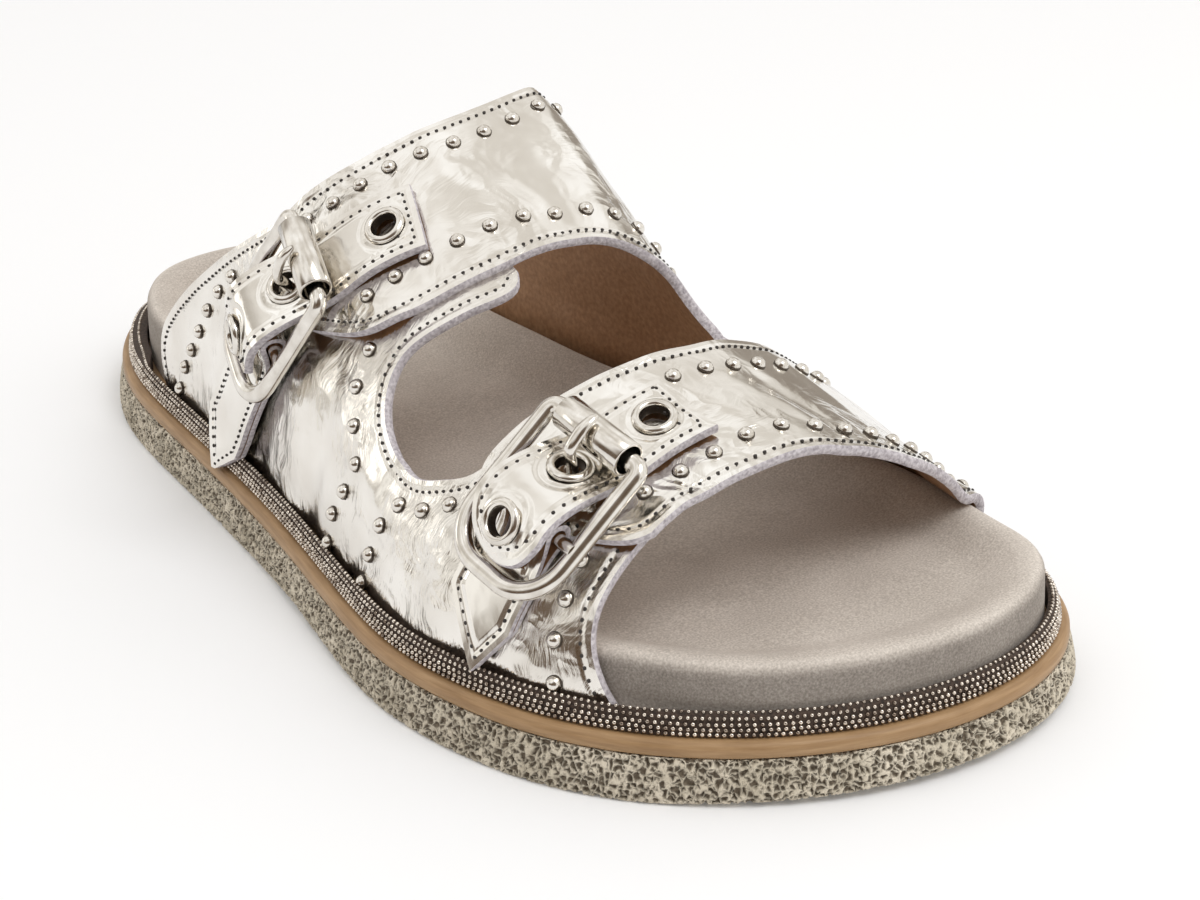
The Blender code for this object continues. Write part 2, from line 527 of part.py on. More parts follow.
for which, (roller_s, roller_a, down, lower_at, tip_at, head_at, end_at, eyelets_at) in BUCKLES.items():
    def by_arc(station, arc, lift):
        """Point over the upper by station and arc height."""
        return on_upper(station, arc / np.interp(station, GRID_S, GIRTH), np.broadcast_to(lift, station.shape))

    # Directions down and across the strap, square to each other on the curved surface
    near = by_arc(roller_s + np.array([0.0, 2.0, -2.0, 0.0, 0.0]), roller_a - 8 + np.array([0, 0, 0, 2.0, -2.0]), 0.0)
    by_station = (near[1] - near[2]) / 4
    by_rise = (near[3] - near[4]) / 4
    metric = np.array([[by_station @ by_station, by_station @ by_rise], [by_station @ by_rise, by_rise @ by_rise]])
    down = np.array(down) / math.sqrt(np.array(down) @ metric @ np.array(down))
    turned = metric @ down
    wide = np.array([-turned[1], turned[0]])
    wide /= math.sqrt(wide @ metric @ wide)

    def on_side(below, aside, lift, at=(roller_s, roller_a), down=down, wide=wide, by_arc=by_arc):
        """Point over the upper, measured below the roller, to one side, and upward."""
        below = np.asarray(below, float)
        aside = np.asarray(aside, float)
        station = at[0] + below * down[0] + aside * wide[0]
        arc = at[1] + below * down[1] + aside * wide[1]
        return by_arc(station, arc, lift)

    # Rigid frame axes from the roller and the lower bar
    top = on_side(np.array([0.0]), np.array([0.0]), ROLLER_LIFT)[0]
    low = on_side(np.array([lower_at]), np.array([0.0]), LOWER_LIFT)[0]
    axis_l = (low - top) / np.linalg.norm(low - top)
    span = np.linalg.norm(low - top)
    ends = on_side(np.array([11.0, 11.0]), np.array([-9.0, 9.0]), 0.0)
    axis_w = ends[1] - ends[0]
    axis_w = axis_w - axis_l * (axis_w @ axis_l)
    axis_w /= np.linalg.norm(axis_w)
    axis_h = np.cross(axis_l, axis_w)
    if axis_h @ (top - on_side(np.array([0.0]), np.array([0.0]), 0.0)[0]) < 0:
        axis_h = -axis_h
    under = on_side(np.array([15.0]), np.array([0.0]), 0.0)[0]
    bar_rise = BAR_LIFT - (top - under) @ axis_h
    bar = top + axis_l * BAR_AT + axis_h * bar_rise

    # Frame: bent wire loop with a centre bar
    loop = []
    for first, corner, steps in ((0, LOWER_CORNER, 5), (1, TOP_CORNER, 3), (2, TOP_CORNER, 3), (3, LOWER_CORNER, 5)):
        cl = span - corner if first in (0, 3) else corner
        cw = FRAME_HALF - corner if first in (0, 1) else corner - FRAME_HALF
        for angle in np.linspace(0.0, math.pi / 2, steps) + first * math.pi / 2:
            loop.append((cl + corner * math.cos(angle), cw + corner * math.sin(angle)))
    path = np.array([top + axis_l * a + axis_w * b for a, b in loop])
    points, faces = wire(path, WIRE_RADIUS, 8, True, axis_h)
    frame = add_object(f"frame_{which}", points, faces, "nickel", metallic=1.0, roughness=0.2, sharp=50.0)
    points, faces = wire([bar - axis_w * FRAME_HALF, bar + axis_w * FRAME_HALF], WIRE_RADIUS * 0.96, 8, False, axis_h)
    bar_piece = add_object("bar", points, faces, "nickel", metallic=1.0, roughness=0.2)
    combine(frame, bar_piece, "UNION")

    # Roller: rolled tube on the top bar
    tube = [(WIRE_RADIUS + FIT_GAP, -ROLLER_HALF), (ROLLER_RADIUS, -ROLLER_HALF), (ROLLER_RADIUS, ROLLER_HALF),
            (WIRE_RADIUS + FIT_GAP, ROLLER_HALF)]
    points, faces = lathe(tube, 18, top, axis_w, axis_h)
    add_object(f"roller_{which}", points, faces, "nickel", metallic=1.0, roughness=0.2)

    # Prong: flat ring on the centre bar and a tapered tongue that ends on the roller
    ring = [(WIRE_RADIUS + FIT_GAP, -1.5), (EYE_RADIUS, -1.5), (EYE_RADIUS, 1.5), (WIRE_RADIUS + FIT_GAP, 1.5)]
    points, faces = lathe(ring, 14, bar, axis_w, axis_h)
    prong = add_object(f"prong_{which}", points, faces, "nickel", metallic=1.0, roughness=0.2, sharp=50.0)
    hole_lift = spline(BILLET_LIFT[:, 0], BILLET_LIFT[:, 1], np.array([eyelets_at[1]])) + BILLET_THICK / 2
    hole = on_side(np.array([eyelets_at[1]]), np.array([0.0]), hole_lift)[0] - top
    marks = [np.array([BAR_AT, bar_rise]) + p for p in PRONG_FROM_BAR]
    marks += [np.array([hole @ axis_l, hole @ axis_h]) + p for p in PRONG_FROM_HOLE]
    marks += [np.array(p) for p in PRONG_FROM_ROLLER]
    tongue = spline(np.arange(len(marks)), np.array(marks), np.linspace(0, len(marks) - 1, 18))
    path = np.array([top + axis_l * a + axis_h * b for a, b in tongue])
    radii = np.interp(np.arange(18), [0, 15, 17], [1.15, 1.1, 0.7])
    points, faces = wire(path, radii, 8, False, axis_w)
    tongue_piece = add_object("tongue", points, faces, "nickel", metallic=1.0, roughness=0.2)
    combine(prong, tongue_piece, "UNION")

    # Chape: folded leather tab round the centre bar, pointed at its lower end over the band
    def chape_under(below, at=roller_a, down=down):
        arc = at + below * down[1]
        return np.maximum(np.interp(below, CHAPE_LIFT[:, 0], CHAPE_LIFT[:, 1]),
                          np.interp(arc, CHAPE_BASE[:, 0], CHAPE_BASE[:, 1]))

    shares = np.array([-1.0, -0.5, 0.0, 0.5, 1.0])
    plate = np.concatenate([np.linspace(tip_at, tip_at - 11.0, 5)[:-1], np.linspace(tip_at - 11.0, 21.5, 6)])
    halves = np.interp(tip_at - plate, [0.0, 9.5], [0.9, CHAPE_HALF])
    rows = []
    for below, half in zip(plate, halves):
        rows.append(on_side(np.full(5, below), shares * half, chape_under(below)))
    for angle in np.radians(np.linspace(-70.0, -320.0, 11)):
        around = bar + EYE_RADIUS * (math.cos(angle) * axis_l + math.sin(angle) * axis_h)
        rows.append(around + shares[:, None] * CHAPE_HALF * axis_w)
    for below, half in zip(plate[::-1], halves[::-1]):
        rows.append(on_side(np.full(5, below), shares * half, chape_under(below) + CHAPE_THICK))
    count = len(rows)
    points = np.concatenate(rows)
    faces = []
    for i in range(count):
        j = (i + 1) % count
        for k in range(4):
            faces.append([i * 5 + k, j * 5 + k, j * 5 + k + 1, i * 5 + k + 1])
    faces += [[i * 5 for i in range(count)], [i * 5 + 4 for i in range(count)]]
    chape = add_object(f"chape_{which}", points, faces, "foil", metallic=0.85, roughness=0.3)
    points, faces = wire([bar - axis_w * 12.0, bar + axis_w * 12.0], WIRE_RADIUS + FIT_GAP, 14, False, axis_h)
    combine(chape, add_object("bore", points, faces, "nickel"), "DIFFERENCE")
    slot = []
    for a, b, c in ((-6, -2.1, -6), (-6, 2.1, -6), (3.3, 2.1, -6), (3.3, -2.1, -6)):
        slot.append(bar + axis_l * a + axis_w * b + axis_h * c)
    slot = np.array(slot + [p + axis_h * 12.0 for p in slot])
    sides = [[0, 1, 2, 3], [4, 5, 6, 7], [0, 1, 5, 4], [1, 2, 6, 5], [2, 3, 7, 6], [3, 0, 4, 7]]
    combine(chape, add_object("slot", slot, sides, "nickel"), "DIFFERENCE")

    # Billet: narrow strap with three eyelet holes, from the wide strap under the roller and over the bar
    def billet_face(depth, on_side=on_side):
        def face(flat):
            lift = spline(BILLET_LIFT[:, 0], BILLET_LIFT[:, 1], flat[:, 0])
            return on_side(flat[:, 0], flat[:, 1], lift + depth)
        return face

    rows = [[(head_at, -BILLET_HALF), (end_at - 6.0, -BILLET_HALF)],
            [(end_at - 6.0, -BILLET_HALF), (end_at - 2.0, -BILLET_HALF + 2.2), (end_at, 0.0),
             (end_at - 2.0, BILLET_HALF - 2.2), (end_at - 6.0, BILLET_HALF)],
            [(end_at - 6.0, BILLET_HALF), (head_at, BILLET_HALF)],
            [(head_at, BILLET_HALF), (head_at, -BILLET_HALF)]]
    loops = [np.concatenate([smooth_path(row, 4.0) for row in rows])]
    turns = np.arange(14) * 2 * math.pi / 14
    for at in eyelets_at:
        loops.append(np.column_stack([at + (EYELET_HOLE + 0.75) * np.cos(turns), (EYELET_HOLE + 0.75) * np.sin(turns)]))
    points, faces = sheet(loops, 5.0, billet_face(BILLET_THICK), billet_face(0.0))
    add_object(f"billet_{which}", points, faces, "foil", metallic=0.85, roughness=0.3)

    # Eyelets: rolled rims in the billet holes
    for number, at in enumerate(eyelets_at, 1):
        flat = np.array([[at, 0.0], [at + 2.5, 0.0], [at - 2.5, 0.0], [at, 3.0], [at, -3.0]])
        spots = billet_face(BILLET_THICK)(flat)
        step_l = spots[1] - spots[2]
        step_w = spots[3] - spots[4]
        axis = np.cross(step_l, step_w)
        axis /= np.linalg.norm(axis)
        if axis @ axis_h < 0:
            axis = -axis
        start = step_w - axis * (step_w @ axis)
        start /= np.linalg.norm(start)
        rim = [(EYELET_HOLE, -1.4), (EYELET_HOLE + 0.4, -1.4), (EYELET_HOLE + 0.4, 0.35), (4.1, 0.35), (4.05, 0.85),
               (3.3, 1.2), (EYELET_HOLE, 0.7)]
        points, faces = lathe(rim, 14, spots[0], axis, start)
        add_object(f"eyelet_{which}_{number}", points, faces, "nickel", metallic=1.0, roughness=0.2)

# The whole shoe is set with the middle of its footprint on the origin
corners = np.array([list(v.co) for obj in bpy.data.objects for v in obj.data.vertices])
middle = (corners.min(axis=0) + corners.max(axis=0)) / 2
middle[2] = corners[:, 2].min()
for obj in bpy.data.objects:
    for vertex in obj.data.vertices:
        vertex.co = [c - m for c, m in zip(vertex.co, middle)]
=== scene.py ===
"""Looks of a two-strap buckle slide, one right shoe.

Shapes are worked out in millimetres as x (outer side negative), s (station from the heel) and z,
and set into the frame's metres, where the toe points to -Y.
"""

import math

import bmesh
import bpy
import numpy as np
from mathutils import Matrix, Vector, noise
from mathutils.geometry import delaunay_2d_cdt
from mathutils.kdtree import KDTree


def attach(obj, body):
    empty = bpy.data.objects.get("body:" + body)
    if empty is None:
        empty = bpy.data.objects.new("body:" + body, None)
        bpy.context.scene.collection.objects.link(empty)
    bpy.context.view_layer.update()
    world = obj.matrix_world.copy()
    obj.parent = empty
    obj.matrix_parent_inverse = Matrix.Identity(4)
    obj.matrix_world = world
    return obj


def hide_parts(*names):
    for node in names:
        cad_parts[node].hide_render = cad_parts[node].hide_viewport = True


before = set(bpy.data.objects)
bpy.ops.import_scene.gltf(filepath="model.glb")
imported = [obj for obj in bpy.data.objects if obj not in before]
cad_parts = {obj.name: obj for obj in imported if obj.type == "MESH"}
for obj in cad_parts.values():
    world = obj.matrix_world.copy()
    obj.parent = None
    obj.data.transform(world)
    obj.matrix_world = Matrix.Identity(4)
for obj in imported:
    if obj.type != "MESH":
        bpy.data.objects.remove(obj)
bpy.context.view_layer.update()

# Outsole: the slab of crepe rubber that meets the ground, glued under the welt.
# Crepe is rolled from tangled latex strands, so its cut side shows pale worms round pits; its colour darkens
# from the strands' tops down into the pits as painted shade.
MM = 0.001
TOE_STATION = 262.0
TOE_X = 10.9
HEEL_TIP = (1.7, 3.4)
FRAME_X = 2.65
FRAME_Y = 132.70

# Widest edge of the welt: station, outer x, inner x
OUTLINE = np.array([
    [7.9, -15.5, 19.0],
    [21.0, -27.5, 30.5],
    [39.3, -35.8, 36.0],
    [70.7, -41.6, 36.2],
    [99.6, -45.4, 34.2],
    [131.0, -50.6, 35.6],
    [159.8, -56.6, 43.0],
    [183.4, -59.6, 50.6],
    [201.7, -57.8, 54.0],
    [217.5, -53.2, 54.0],
    [233.2, -44.0, 51.4],
    [247.6, -29.2, 44.6],
    [256.8, -13.2, 33.6],
])
# Ground contact: station, height
GROUND = np.array([[-4.0, 0.5], [3.0, 0.0], [105.0, 0.0], [140.0, 1.0], [176.0, 0.0], [232.0, 0.0],
                   [266.0, 1.7]])


def spline(knots, values, at, closed=False):
    """Cubic curve through the values, natural at its ends or running round."""
    knots = np.asarray(knots, float)
    values = np.asarray(values, float)
    at = np.asarray(at, float)
    count = len(knots)
    step = np.diff(knots)
    slope = np.diff(values, axis=0) / step.reshape((-1,) + (1,) * (values.ndim - 1))
    matrix = np.zeros((count, count))
    right = np.zeros(values.shape)
    for i in range(1, count - 1):
        matrix[i, i - 1:i + 2] = step[i - 1], 2 * (step[i - 1] + step[i]), step[i]
        right[i] = 6 * (slope[i] - slope[i - 1])
    matrix[0, 0] = 1
    matrix[-1, -1] = 1
    if closed:
        matrix[0, -1] = -1
        matrix[-1, :2] = 2 * step[0], step[0]
        matrix[-1, -2:] = step[-1], 2 * step[-1]
        right[-1] = 6 * (slope[0] - slope[-1])
    bend = np.linalg.solve(matrix, right)
    i = np.clip(np.searchsorted(knots, at, side="right") - 1, 0, count - 2)
    a = (knots[i + 1] - at) / step[i]
    b = (at - knots[i]) / step[i]
    cube_a = (a ** 3 - a) * step[i] ** 2 / 6
    cube_b = (b ** 3 - b) * step[i] ** 2 / 6
    if values.ndim > 1:
        a, b, cube_a, cube_b = a[:, None], b[:, None], cube_a[:, None], cube_b[:, None]
    return a * values[i] + b * values[i + 1] + cube_a * bend[i] + cube_b * bend[i + 1]


def look_up(table, at, column=1):
    """Reading of a table's column at places along its first column."""
    return np.interp(at, table[:, 0], table[:, column])


def unit(vectors):
    """Vectors of length one in the same directions."""
    return vectors / np.linalg.norm(vectors, axis=-1, keepdims=True)


def run_along(path):
    """Distance from the start of a path to each of its points."""
    return np.concatenate([[0.0], np.cumsum(np.linalg.norm(np.diff(path, axis=0), axis=1))])


def outline(count):
    """Points round the welt from the heel along the outer side, outward normals and the run along it."""
    outer_side = OUTLINE[:, [1, 0]]
    inner_side = OUTLINE[::-1][:, [2, 0]]
    loop = np.concatenate([[HEEL_TIP], outer_side, [[TOE_X, TOE_STATION]], inner_side, [HEEL_TIP]])
    knots = run_along(loop)
    fine = np.linspace(0.0, knots[-1], 4001)
    path = spline(knots, loop, fine, closed=True)
    run = run_along(path)
    along = np.arange(count) * run[-1] / count
    points = spline(knots, loop, np.interp(along, run, fine), closed=True)
    ahead = np.roll(points, -1, axis=0) - np.roll(points, 1, axis=0)
    normals = unit(np.stack([-ahead[:, 1], ahead[:, 0]], axis=1))
    if ((points - points.mean(axis=0)) * normals).sum() < 0:
        normals = -normals
    return points, normals, along, run[-1]


def place(points):
    """Shoe millimetres to the frame's metres."""
    x, station, z = np.moveaxis(np.asarray(points, float), -1, 0)
    return np.stack([x + FRAME_X, FRAME_Y - station, z], axis=-1) * MM


def ring(round_points, round_normals, offset, height):
    """One ring at an offset from the outline and a height, numbers or one value per point."""
    count = len(round_points)
    flat = round_points + round_normals * np.broadcast_to(offset, (count,))[:, None]
    return np.column_stack([flat, np.broadcast_to(height, (count,))])


def loft(rings, closed):
    """Points and quads between rings; an open stack is shut with rungs across its first and last ring."""
    count = len(rings[0])
    faces = []
    for k in range(len(rings) if closed else len(rings) - 1):
        low = k * count
        high = ((k + 1) % len(rings)) * count
        faces += [[low + i, low + (i + 1) % count, high + (i + 1) % count, high + i] for i in range(count)]
    for first in () if closed else (0, (len(rings) - 1) * count):
        for i in range(count // 2):
            rung = [first + i, first + i + 1, first + (count - i - 1) % count, first + (count - i) % count]
            faces.append(list(dict.fromkeys(rung)))
    return np.concatenate(rings), faces


def linear(code):
    """sRGB hex to the linear colour that shaders take."""
    parts = [int(code[i:i + 2], 16) / 255 for i in (1, 3, 5)]
    return tuple(p / 12.92 if p <= 0.04045 else ((p + 0.055) / 1.055) ** 2.4 for p in parts) + (1.0,)


def add_node(tree, kind, inputs=None, **settings):
    """A node with its settings; each input takes a value or another node's output."""
    node = tree.nodes.new(kind)
    for name, value in settings.items():
        setattr(node, name, value)
    for name, value in (inputs or {}).items():
        if isinstance(value, bpy.types.NodeSocket):
            tree.links.new(value, node.inputs[name])
        else:
            node.inputs[name].default_value = value
    return node


def new_material(name, roughness, metallic=0.0, **shader_inputs):
    """A Principled material with its plain numbers on the shader's own sockets."""
    material = bpy.data.materials.new(name)
    material.use_nodes = True
    shader = material.node_tree.nodes["Principled BSDF"]
    shader.inputs["Roughness"].default_value = roughness
    shader.inputs["Metallic"].default_value = metallic
    for socket, value in shader_inputs.items():
        shader.inputs[socket.replace("_", " ")].default_value = value
    return material, material.node_tree, shader


def colour_ramp(tree, factor, stops):
    """A ramp of hex colours over a factor; each stop is a place and a colour."""
    ramp = add_node(tree, "ShaderNodeValToRGB", {"Fac": factor})
    elements = ramp.color_ramp.elements
    while len(elements) < len(stops):
        elements.new(0.5)
    for element, (at, code) in zip(elements, stops):
        element.position = at
        element.color = linear(code)
    return ramp.outputs["Color"]


def noise_of(tree, spot, size, detail, output="Fac", **settings):
    """Noise over a position, its grain sized in the position's own unit."""
    inputs = {"Vector": spot, "Scale": 1 / size, "Detail": detail}
    return add_node(tree, "ShaderNodeTexNoise", inputs, **settings).outputs[output]


def ranged(tree, value, low, high, to_low=0.0, to_high=1.0, **settings):
    """A value carried from one range to another and held at its ends."""
    inputs = {"Value": value, "From Min": low, "From Max": high, "To Min": to_low, "To Max": to_high}
    return add_node(tree, "ShaderNodeMapRange", inputs, **settings).outputs["Result"]


def maths(tree, operation, first, second=0.0):
    """One step of arithmetic on two values."""
    return add_node(tree, "ShaderNodeMath", {0: first, 1: second}, operation=operation).outputs[0]


def swung(tree, spot, wander, reach):
    """A position moved by a wandering noise, up to a reach in the position's own unit."""
    swing = add_node(tree, "ShaderNodeVectorMath", {0: wander, "Scale": reach}, operation="SCALE").outputs[0]
    return add_node(tree, "ShaderNodeVectorMath", {0: spot, 1: swing}, operation="ADD").outputs[0]


def mixed(tree, factor, first, second, kind="RGBA"):
    """A mix of two colours, or of two values."""
    inputs = {"Factor": factor, "A": first, "B": second}
    return add_node(tree, "ShaderNodeMix", inputs, data_type=kind).outputs["Result"]


def wear(tree, shader, colour, height=None, strength=0.0, distance=0.0):
    """Gives a shader its colour and, with a height, a bump of some millimetres."""
    tree.links.new(colour, shader.inputs["Base Color"])
    if height is not None:
        inputs = {"Height": height, "Strength": strength, "Distance": distance * MM}
        tree.links.new(add_node(tree, "ShaderNodeBump", inputs).outputs["Normal"], shader.inputs["Normal"])


def grained(name, size, detail, stops, strength=0.0, depth=0.0, **look):
    """A material of one noise: grain in millimetres, colours over it, and its bump if it has one."""
    material, tree, shader = new_material(name, **look)
    spot = add_node(tree, "ShaderNodeTexCoord").outputs["Object"]
    grain = noise_of(tree, spot, size * MM, detail)
    wear(tree, shader, colour_ramp(tree, grain, stops), grain if depth else None, strength, depth)
    return material


def new_piece(name, points, faces, materials, slots=None, sharp=40.0, uv=None, turn=True):
    """A mesh object in the frame from shoe millimetres, faces outward, shaded smooth up to an angle."""
    mesh = bpy.data.meshes.new(name)
    mesh.from_pydata(place(points).tolist(), [], [[int(i) for i in face] for face in faces])
    for material in materials:
        mesh.materials.append(material)
    if slots is not None:
        mesh.polygons.foreach_set("material_index", np.asarray(slots, np.int32))
    if turn:
        shell = bmesh.new()
        shell.from_mesh(mesh)
        bmesh.ops.recalc_face_normals(shell, faces=shell.faces)
        shell.to_mesh(mesh)
        shell.free()
    if uv is not None:
        layer = mesh.uv_layers.new(name="run")
        corner = np.empty(len(mesh.loops), np.int32)
        mesh.loops.foreach_get("vertex_index", corner)
        layer.data.foreach_set("uv", np.asarray(uv, np.float32)[corner].ravel())
    mesh.shade_smooth()
    mesh.set_sharp_from_angle(angle=math.radians(sharp))
    obj = bpy.data.objects.new(name, mesh)
    bpy.context.scene.collection.objects.link(obj)
    return obj


def point_values(mesh, label, values):
    """Stores one number per point under a name that materials and node trees read."""
    layer = mesh.attributes.new(label, "FLOAT", "POINT")
    layer.data.foreach_set("value", np.asarray(values).astype(np.float32))


def bake_tree(obj, tree, values):
    """Runs a Geometry Nodes tree on an object with named values and keeps its mesh."""
    modifier = obj.modifiers.new("made", "NODES")
    modifier.node_group = tree
    for item in tree.interface.items_tree:
        if item.item_type == "SOCKET" and item.in_out == "INPUT" and item.name in values:
            modifier[item.identifier] = values[item.name]
    graph = bpy.context.evaluated_depsgraph_get()
    mesh = bpy.data.meshes.new_from_object(obj.evaluated_get(graph))
    obj.modifiers.clear()
    obj.data = mesh
    return obj


# Crepe pattern, the same in shape and colour: a tangled net of strands round small pits
CREPE_CELL = 1.3
CREPE_STRAND = 0.28
CREPE_DEPTH = 0.8
CREPE_WANDER = 1.6
CREPE_SWING = 1.9


def crepe_strands(tree, spot):
    """Height 0 in the pits to 1 on the strands, from a position; for a shader or a geometry tree."""
    wander = noise_of(tree, spot, CREPE_WANDER * MM, 1.0, "Color")
    bent = swung(tree, spot, wander, CREPE_SWING * MM)
    way = add_node(tree, "ShaderNodeTexVoronoi", {"Vector": bent, "Scale": 1 / (CREPE_CELL * MM)},
                   feature="DISTANCE_TO_EDGE").outputs["Distance"]
    return ranged(tree, way, 0.02, CREPE_STRAND, 1.0, 0.0, interpolation_type="SMOOTHSTEP")


crepe, tree, shader = new_material("crepe_rubber", roughness=0.88, Specular_IOR_Level=0.25)
spot = add_node(tree, "ShaderNodeAttribute", attribute_name="rest").outputs["Vector"]
strand = crepe_strands(tree, spot)
blotch = noise_of(tree, spot, 9.0 * MM, 4.0)
grit = noise_of(tree, spot, 0.8 * MM, 3.0)
# Pale on the strands' tops, darker down their sides and dark in the pits: painted shade in the recesses, laid
# over the real relief
pale = colour_ramp(tree, blotch, [(0.3, "#cbc1ad"), (0.7, "#ebe1ce")])
pit_painted_shade = colour_ramp(tree, grit, [(0.3, "#574d40"), (0.75, "#918575")])
wear(tree, shader, mixed(tree, ranged(tree, strand, 0.04, 0.8), pit_painted_shade, pale), strand, 0.9, 0.6)

CREPE_AROUND = 2000
CREPE_TOP = 8.4
edge, out, _, _ = outline(CREPE_AROUND)
ground_z = look_up(GROUND, edge[:, 1])
# Side of the slab from the ground up: offset, height, share of the ground's rise
CREPE_SIDE = np.array([[0.9, 0.0, 1.0], [1.5, 0.9, 1.0], [1.1, 4.6, 0.3], [0.2, 8.0, 0.0],
                       [-0.3, CREPE_TOP, 0.0]])
rings = [ring(edge, out, offset, ground_z) for offset in (-14.0, -3.0)]
for share in np.linspace(0.0, 1.0, 25):
    offset, height, lifted = spline(np.linspace(0, 1, 5), CREPE_SIDE, np.array([share]))[0]
    rings.append(ring(edge, out, offset, height + ground_z * max(0.0, lifted)))
rings.append(ring(edge, out, -6.0, CREPE_TOP))
points, faces = loft(rings, closed=False)
outsole = new_piece("outsole_crepe", points, faces, [crepe], sharp=70.0)
strength = np.ones(len(rings))
strength[[0, 1, 2, 3, -3, -2, -1]] = 0.0, 0.0, 0.5, 0.8, 0.6, 0.25, 0.0
point_values(outsole.data, "relief", np.repeat(strength, CREPE_AROUND))
tree = bpy.data.node_groups.new("crepe_relief", "GeometryNodeTree")
tree.interface.new_socket("Slab", in_out="INPUT", socket_type="NodeSocketGeometry")
tree.interface.new_socket("Depth", in_out="INPUT", socket_type="NodeSocketFloat")
tree.interface.new_socket("Slab", in_out="OUTPUT", socket_type="NodeSocketGeometry")
given = add_node(tree, "NodeGroupInput")
spot = add_node(tree, "GeometryNodeInputPosition").outputs[0]
kept = add_node(tree, "GeometryNodeStoreNamedAttribute",
                {"Geometry": given.outputs[0], "Name": "rest", "Value": spot},
                data_type="FLOAT_VECTOR", domain="POINT")
amount = add_node(tree, "GeometryNodeInputNamedAttribute", {"Name": "relief"}, data_type="FLOAT")
sunk = maths(tree, "SUBTRACT", crepe_strands(tree, spot), 1.0)
deep = maths(tree, "MULTIPLY", sunk, amount.outputs["Attribute"])
size = maths(tree, "MULTIPLY", deep, given.outputs["Depth"])
normal = add_node(tree, "GeometryNodeInputNormal").outputs[0]
move = add_node(tree, "ShaderNodeVectorMath", {0: normal, "Scale": size}, operation="SCALE").outputs[0]
pressed = add_node(tree, "GeometryNodeSetPosition", {"Geometry": kept.outputs[0], "Offset": move})
add_node(tree, "NodeGroupOutput", {0: pressed.outputs[0]})
bake_tree(outsole, tree, {"Depth": CREPE_DEPTH * MM})
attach(outsole, "root")
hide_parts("outsole")

# Midsole: the tan welt layer between crepe and footbed, cut from bonded leather board.
# Its edge is sanded and burnished by hand, which leaves streaks along it and a soft rounded top.
WELT_AROUND = 420
WELT_FOOT = 8.6
STREAK_LONG = 12.0
STREAK_WIDE = 0.9
edge, out, run, girth = outline(WELT_AROUND)
welt, tree, shader = new_material("tan_welt_leather", roughness=0.46, Specular_IOR_Level=0.4)
uv_map = add_node(tree, "ShaderNodeUVMap", uv_map="run").outputs["UV"]
grain_scale = (1 / STREAK_LONG, 1 / STREAK_WIDE, 1.0)
long_grain = add_node(tree, "ShaderNodeMapping", {"Vector": uv_map, "Scale": grain_scale}).outputs["Vector"]
streak = add_node(tree, "ShaderNodeTexNoise", {"Vector": long_grain, "Scale": 1.0, "Detail": 5.0,
                                               "Roughness": 0.6}).outputs["Fac"]
tan = colour_ramp(tree, streak, [(0.25, "#8f6f4c"), (0.5, "#a6855f"), (0.75, "#bb9a74")])
wear(tree, shader, tan, streak, 0.25, 0.2)
# Edge of the plate from the crepe up: offset, height
WELT_SIDE = np.array([[-0.25, WELT_FOOT], [0.05, 8.8], [0.1, 9.5], [0.05, 10.2], [-0.2, 10.8], [-0.7, 11.2],
                      [-1.6, 11.4], [-7.5, 11.42]])
rings = [ring(edge, out, -6.0, WELT_FOOT)] + [ring(edge, out, offset, height) for offset, height in WELT_SIDE]
points, faces = loft(rings, closed=False)
up_side = np.concatenate([[0.0], np.arange(len(WELT_SIDE)) * 0.6])
uv = np.column_stack([np.tile(np.minimum(run, girth - run), len(rings)), np.repeat(up_side, WELT_AROUND)])
midsole = new_piece("midsole_welt", points, faces, [welt], sharp=60.0, uv=uv)
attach(midsole, "root")
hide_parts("midsole")

# Bead band: a woven dark braid that hides the seam on the welt, set with rows of small silver beads.
# It leans in against the footbed and is broader round the heel.
# Inner edge of the band: station, offset
BAND_INNER = np.array([[-10.0, -5.9], [38.0, -5.9], [47.0, -3.6], [232.0, -3.6], [240.0, -4.1],
                       [272.0, -4.1]])
BAND_AROUND = 420
BAND_FOOT = 11.55
BAND_SHOULDER = -2.75
BEAD_PITCH = 1.25
BEAD_RADIUS = 0.48
# Bead rows up the band: share of the slope, radius factor
BEAD_ROWS = ((0.06, 1.0), (0.30, 1.0), (0.54, 0.95), (0.77, 0.88), (0.99, 0.8))
# Braid: matt, near black, with a few browner yarns
braid = grained("dark_braid", 0.6, 2.0, [(0.3, "#2a2019"), (0.7, "#503f34")], 0.6, 0.3, roughness=0.75)
edge, out, _, girth = outline(BAND_AROUND)
inner = look_up(BAND_INNER, edge[:, 1])
crown = (inner + BAND_SHOULDER) / 2
# Slope of the band's face from the welt to its crown: offset, height
BAND_FACE = np.array([[-2.0, BAND_FOOT], [-2.25, 13.6], [BAND_SHOULDER, 15.2]])
rings = [ring(edge, out, offset, height) for offset, height in BAND_FACE]
rings += [ring(edge, out, crown, 15.7), ring(edge, out, inner, 15.4), ring(edge, out, inner, BAND_FOOT)]
points, faces = loft(rings, closed=True)
band = new_piece("bead_band_braid", points, faces, [braid], sharp=60.0)
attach(band, "root")
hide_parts("bead_band")

# Beads: small bright mirrors, some of them darker than their neighbours at random; the darker tone stands in
# for dark reflections, as painted reflection
silver = grained("silver_bead", 1.3, 1.0, [(0.3, "#85776b"), (0.62, "#efe6da")], roughness=0.16, metallic=1.0)


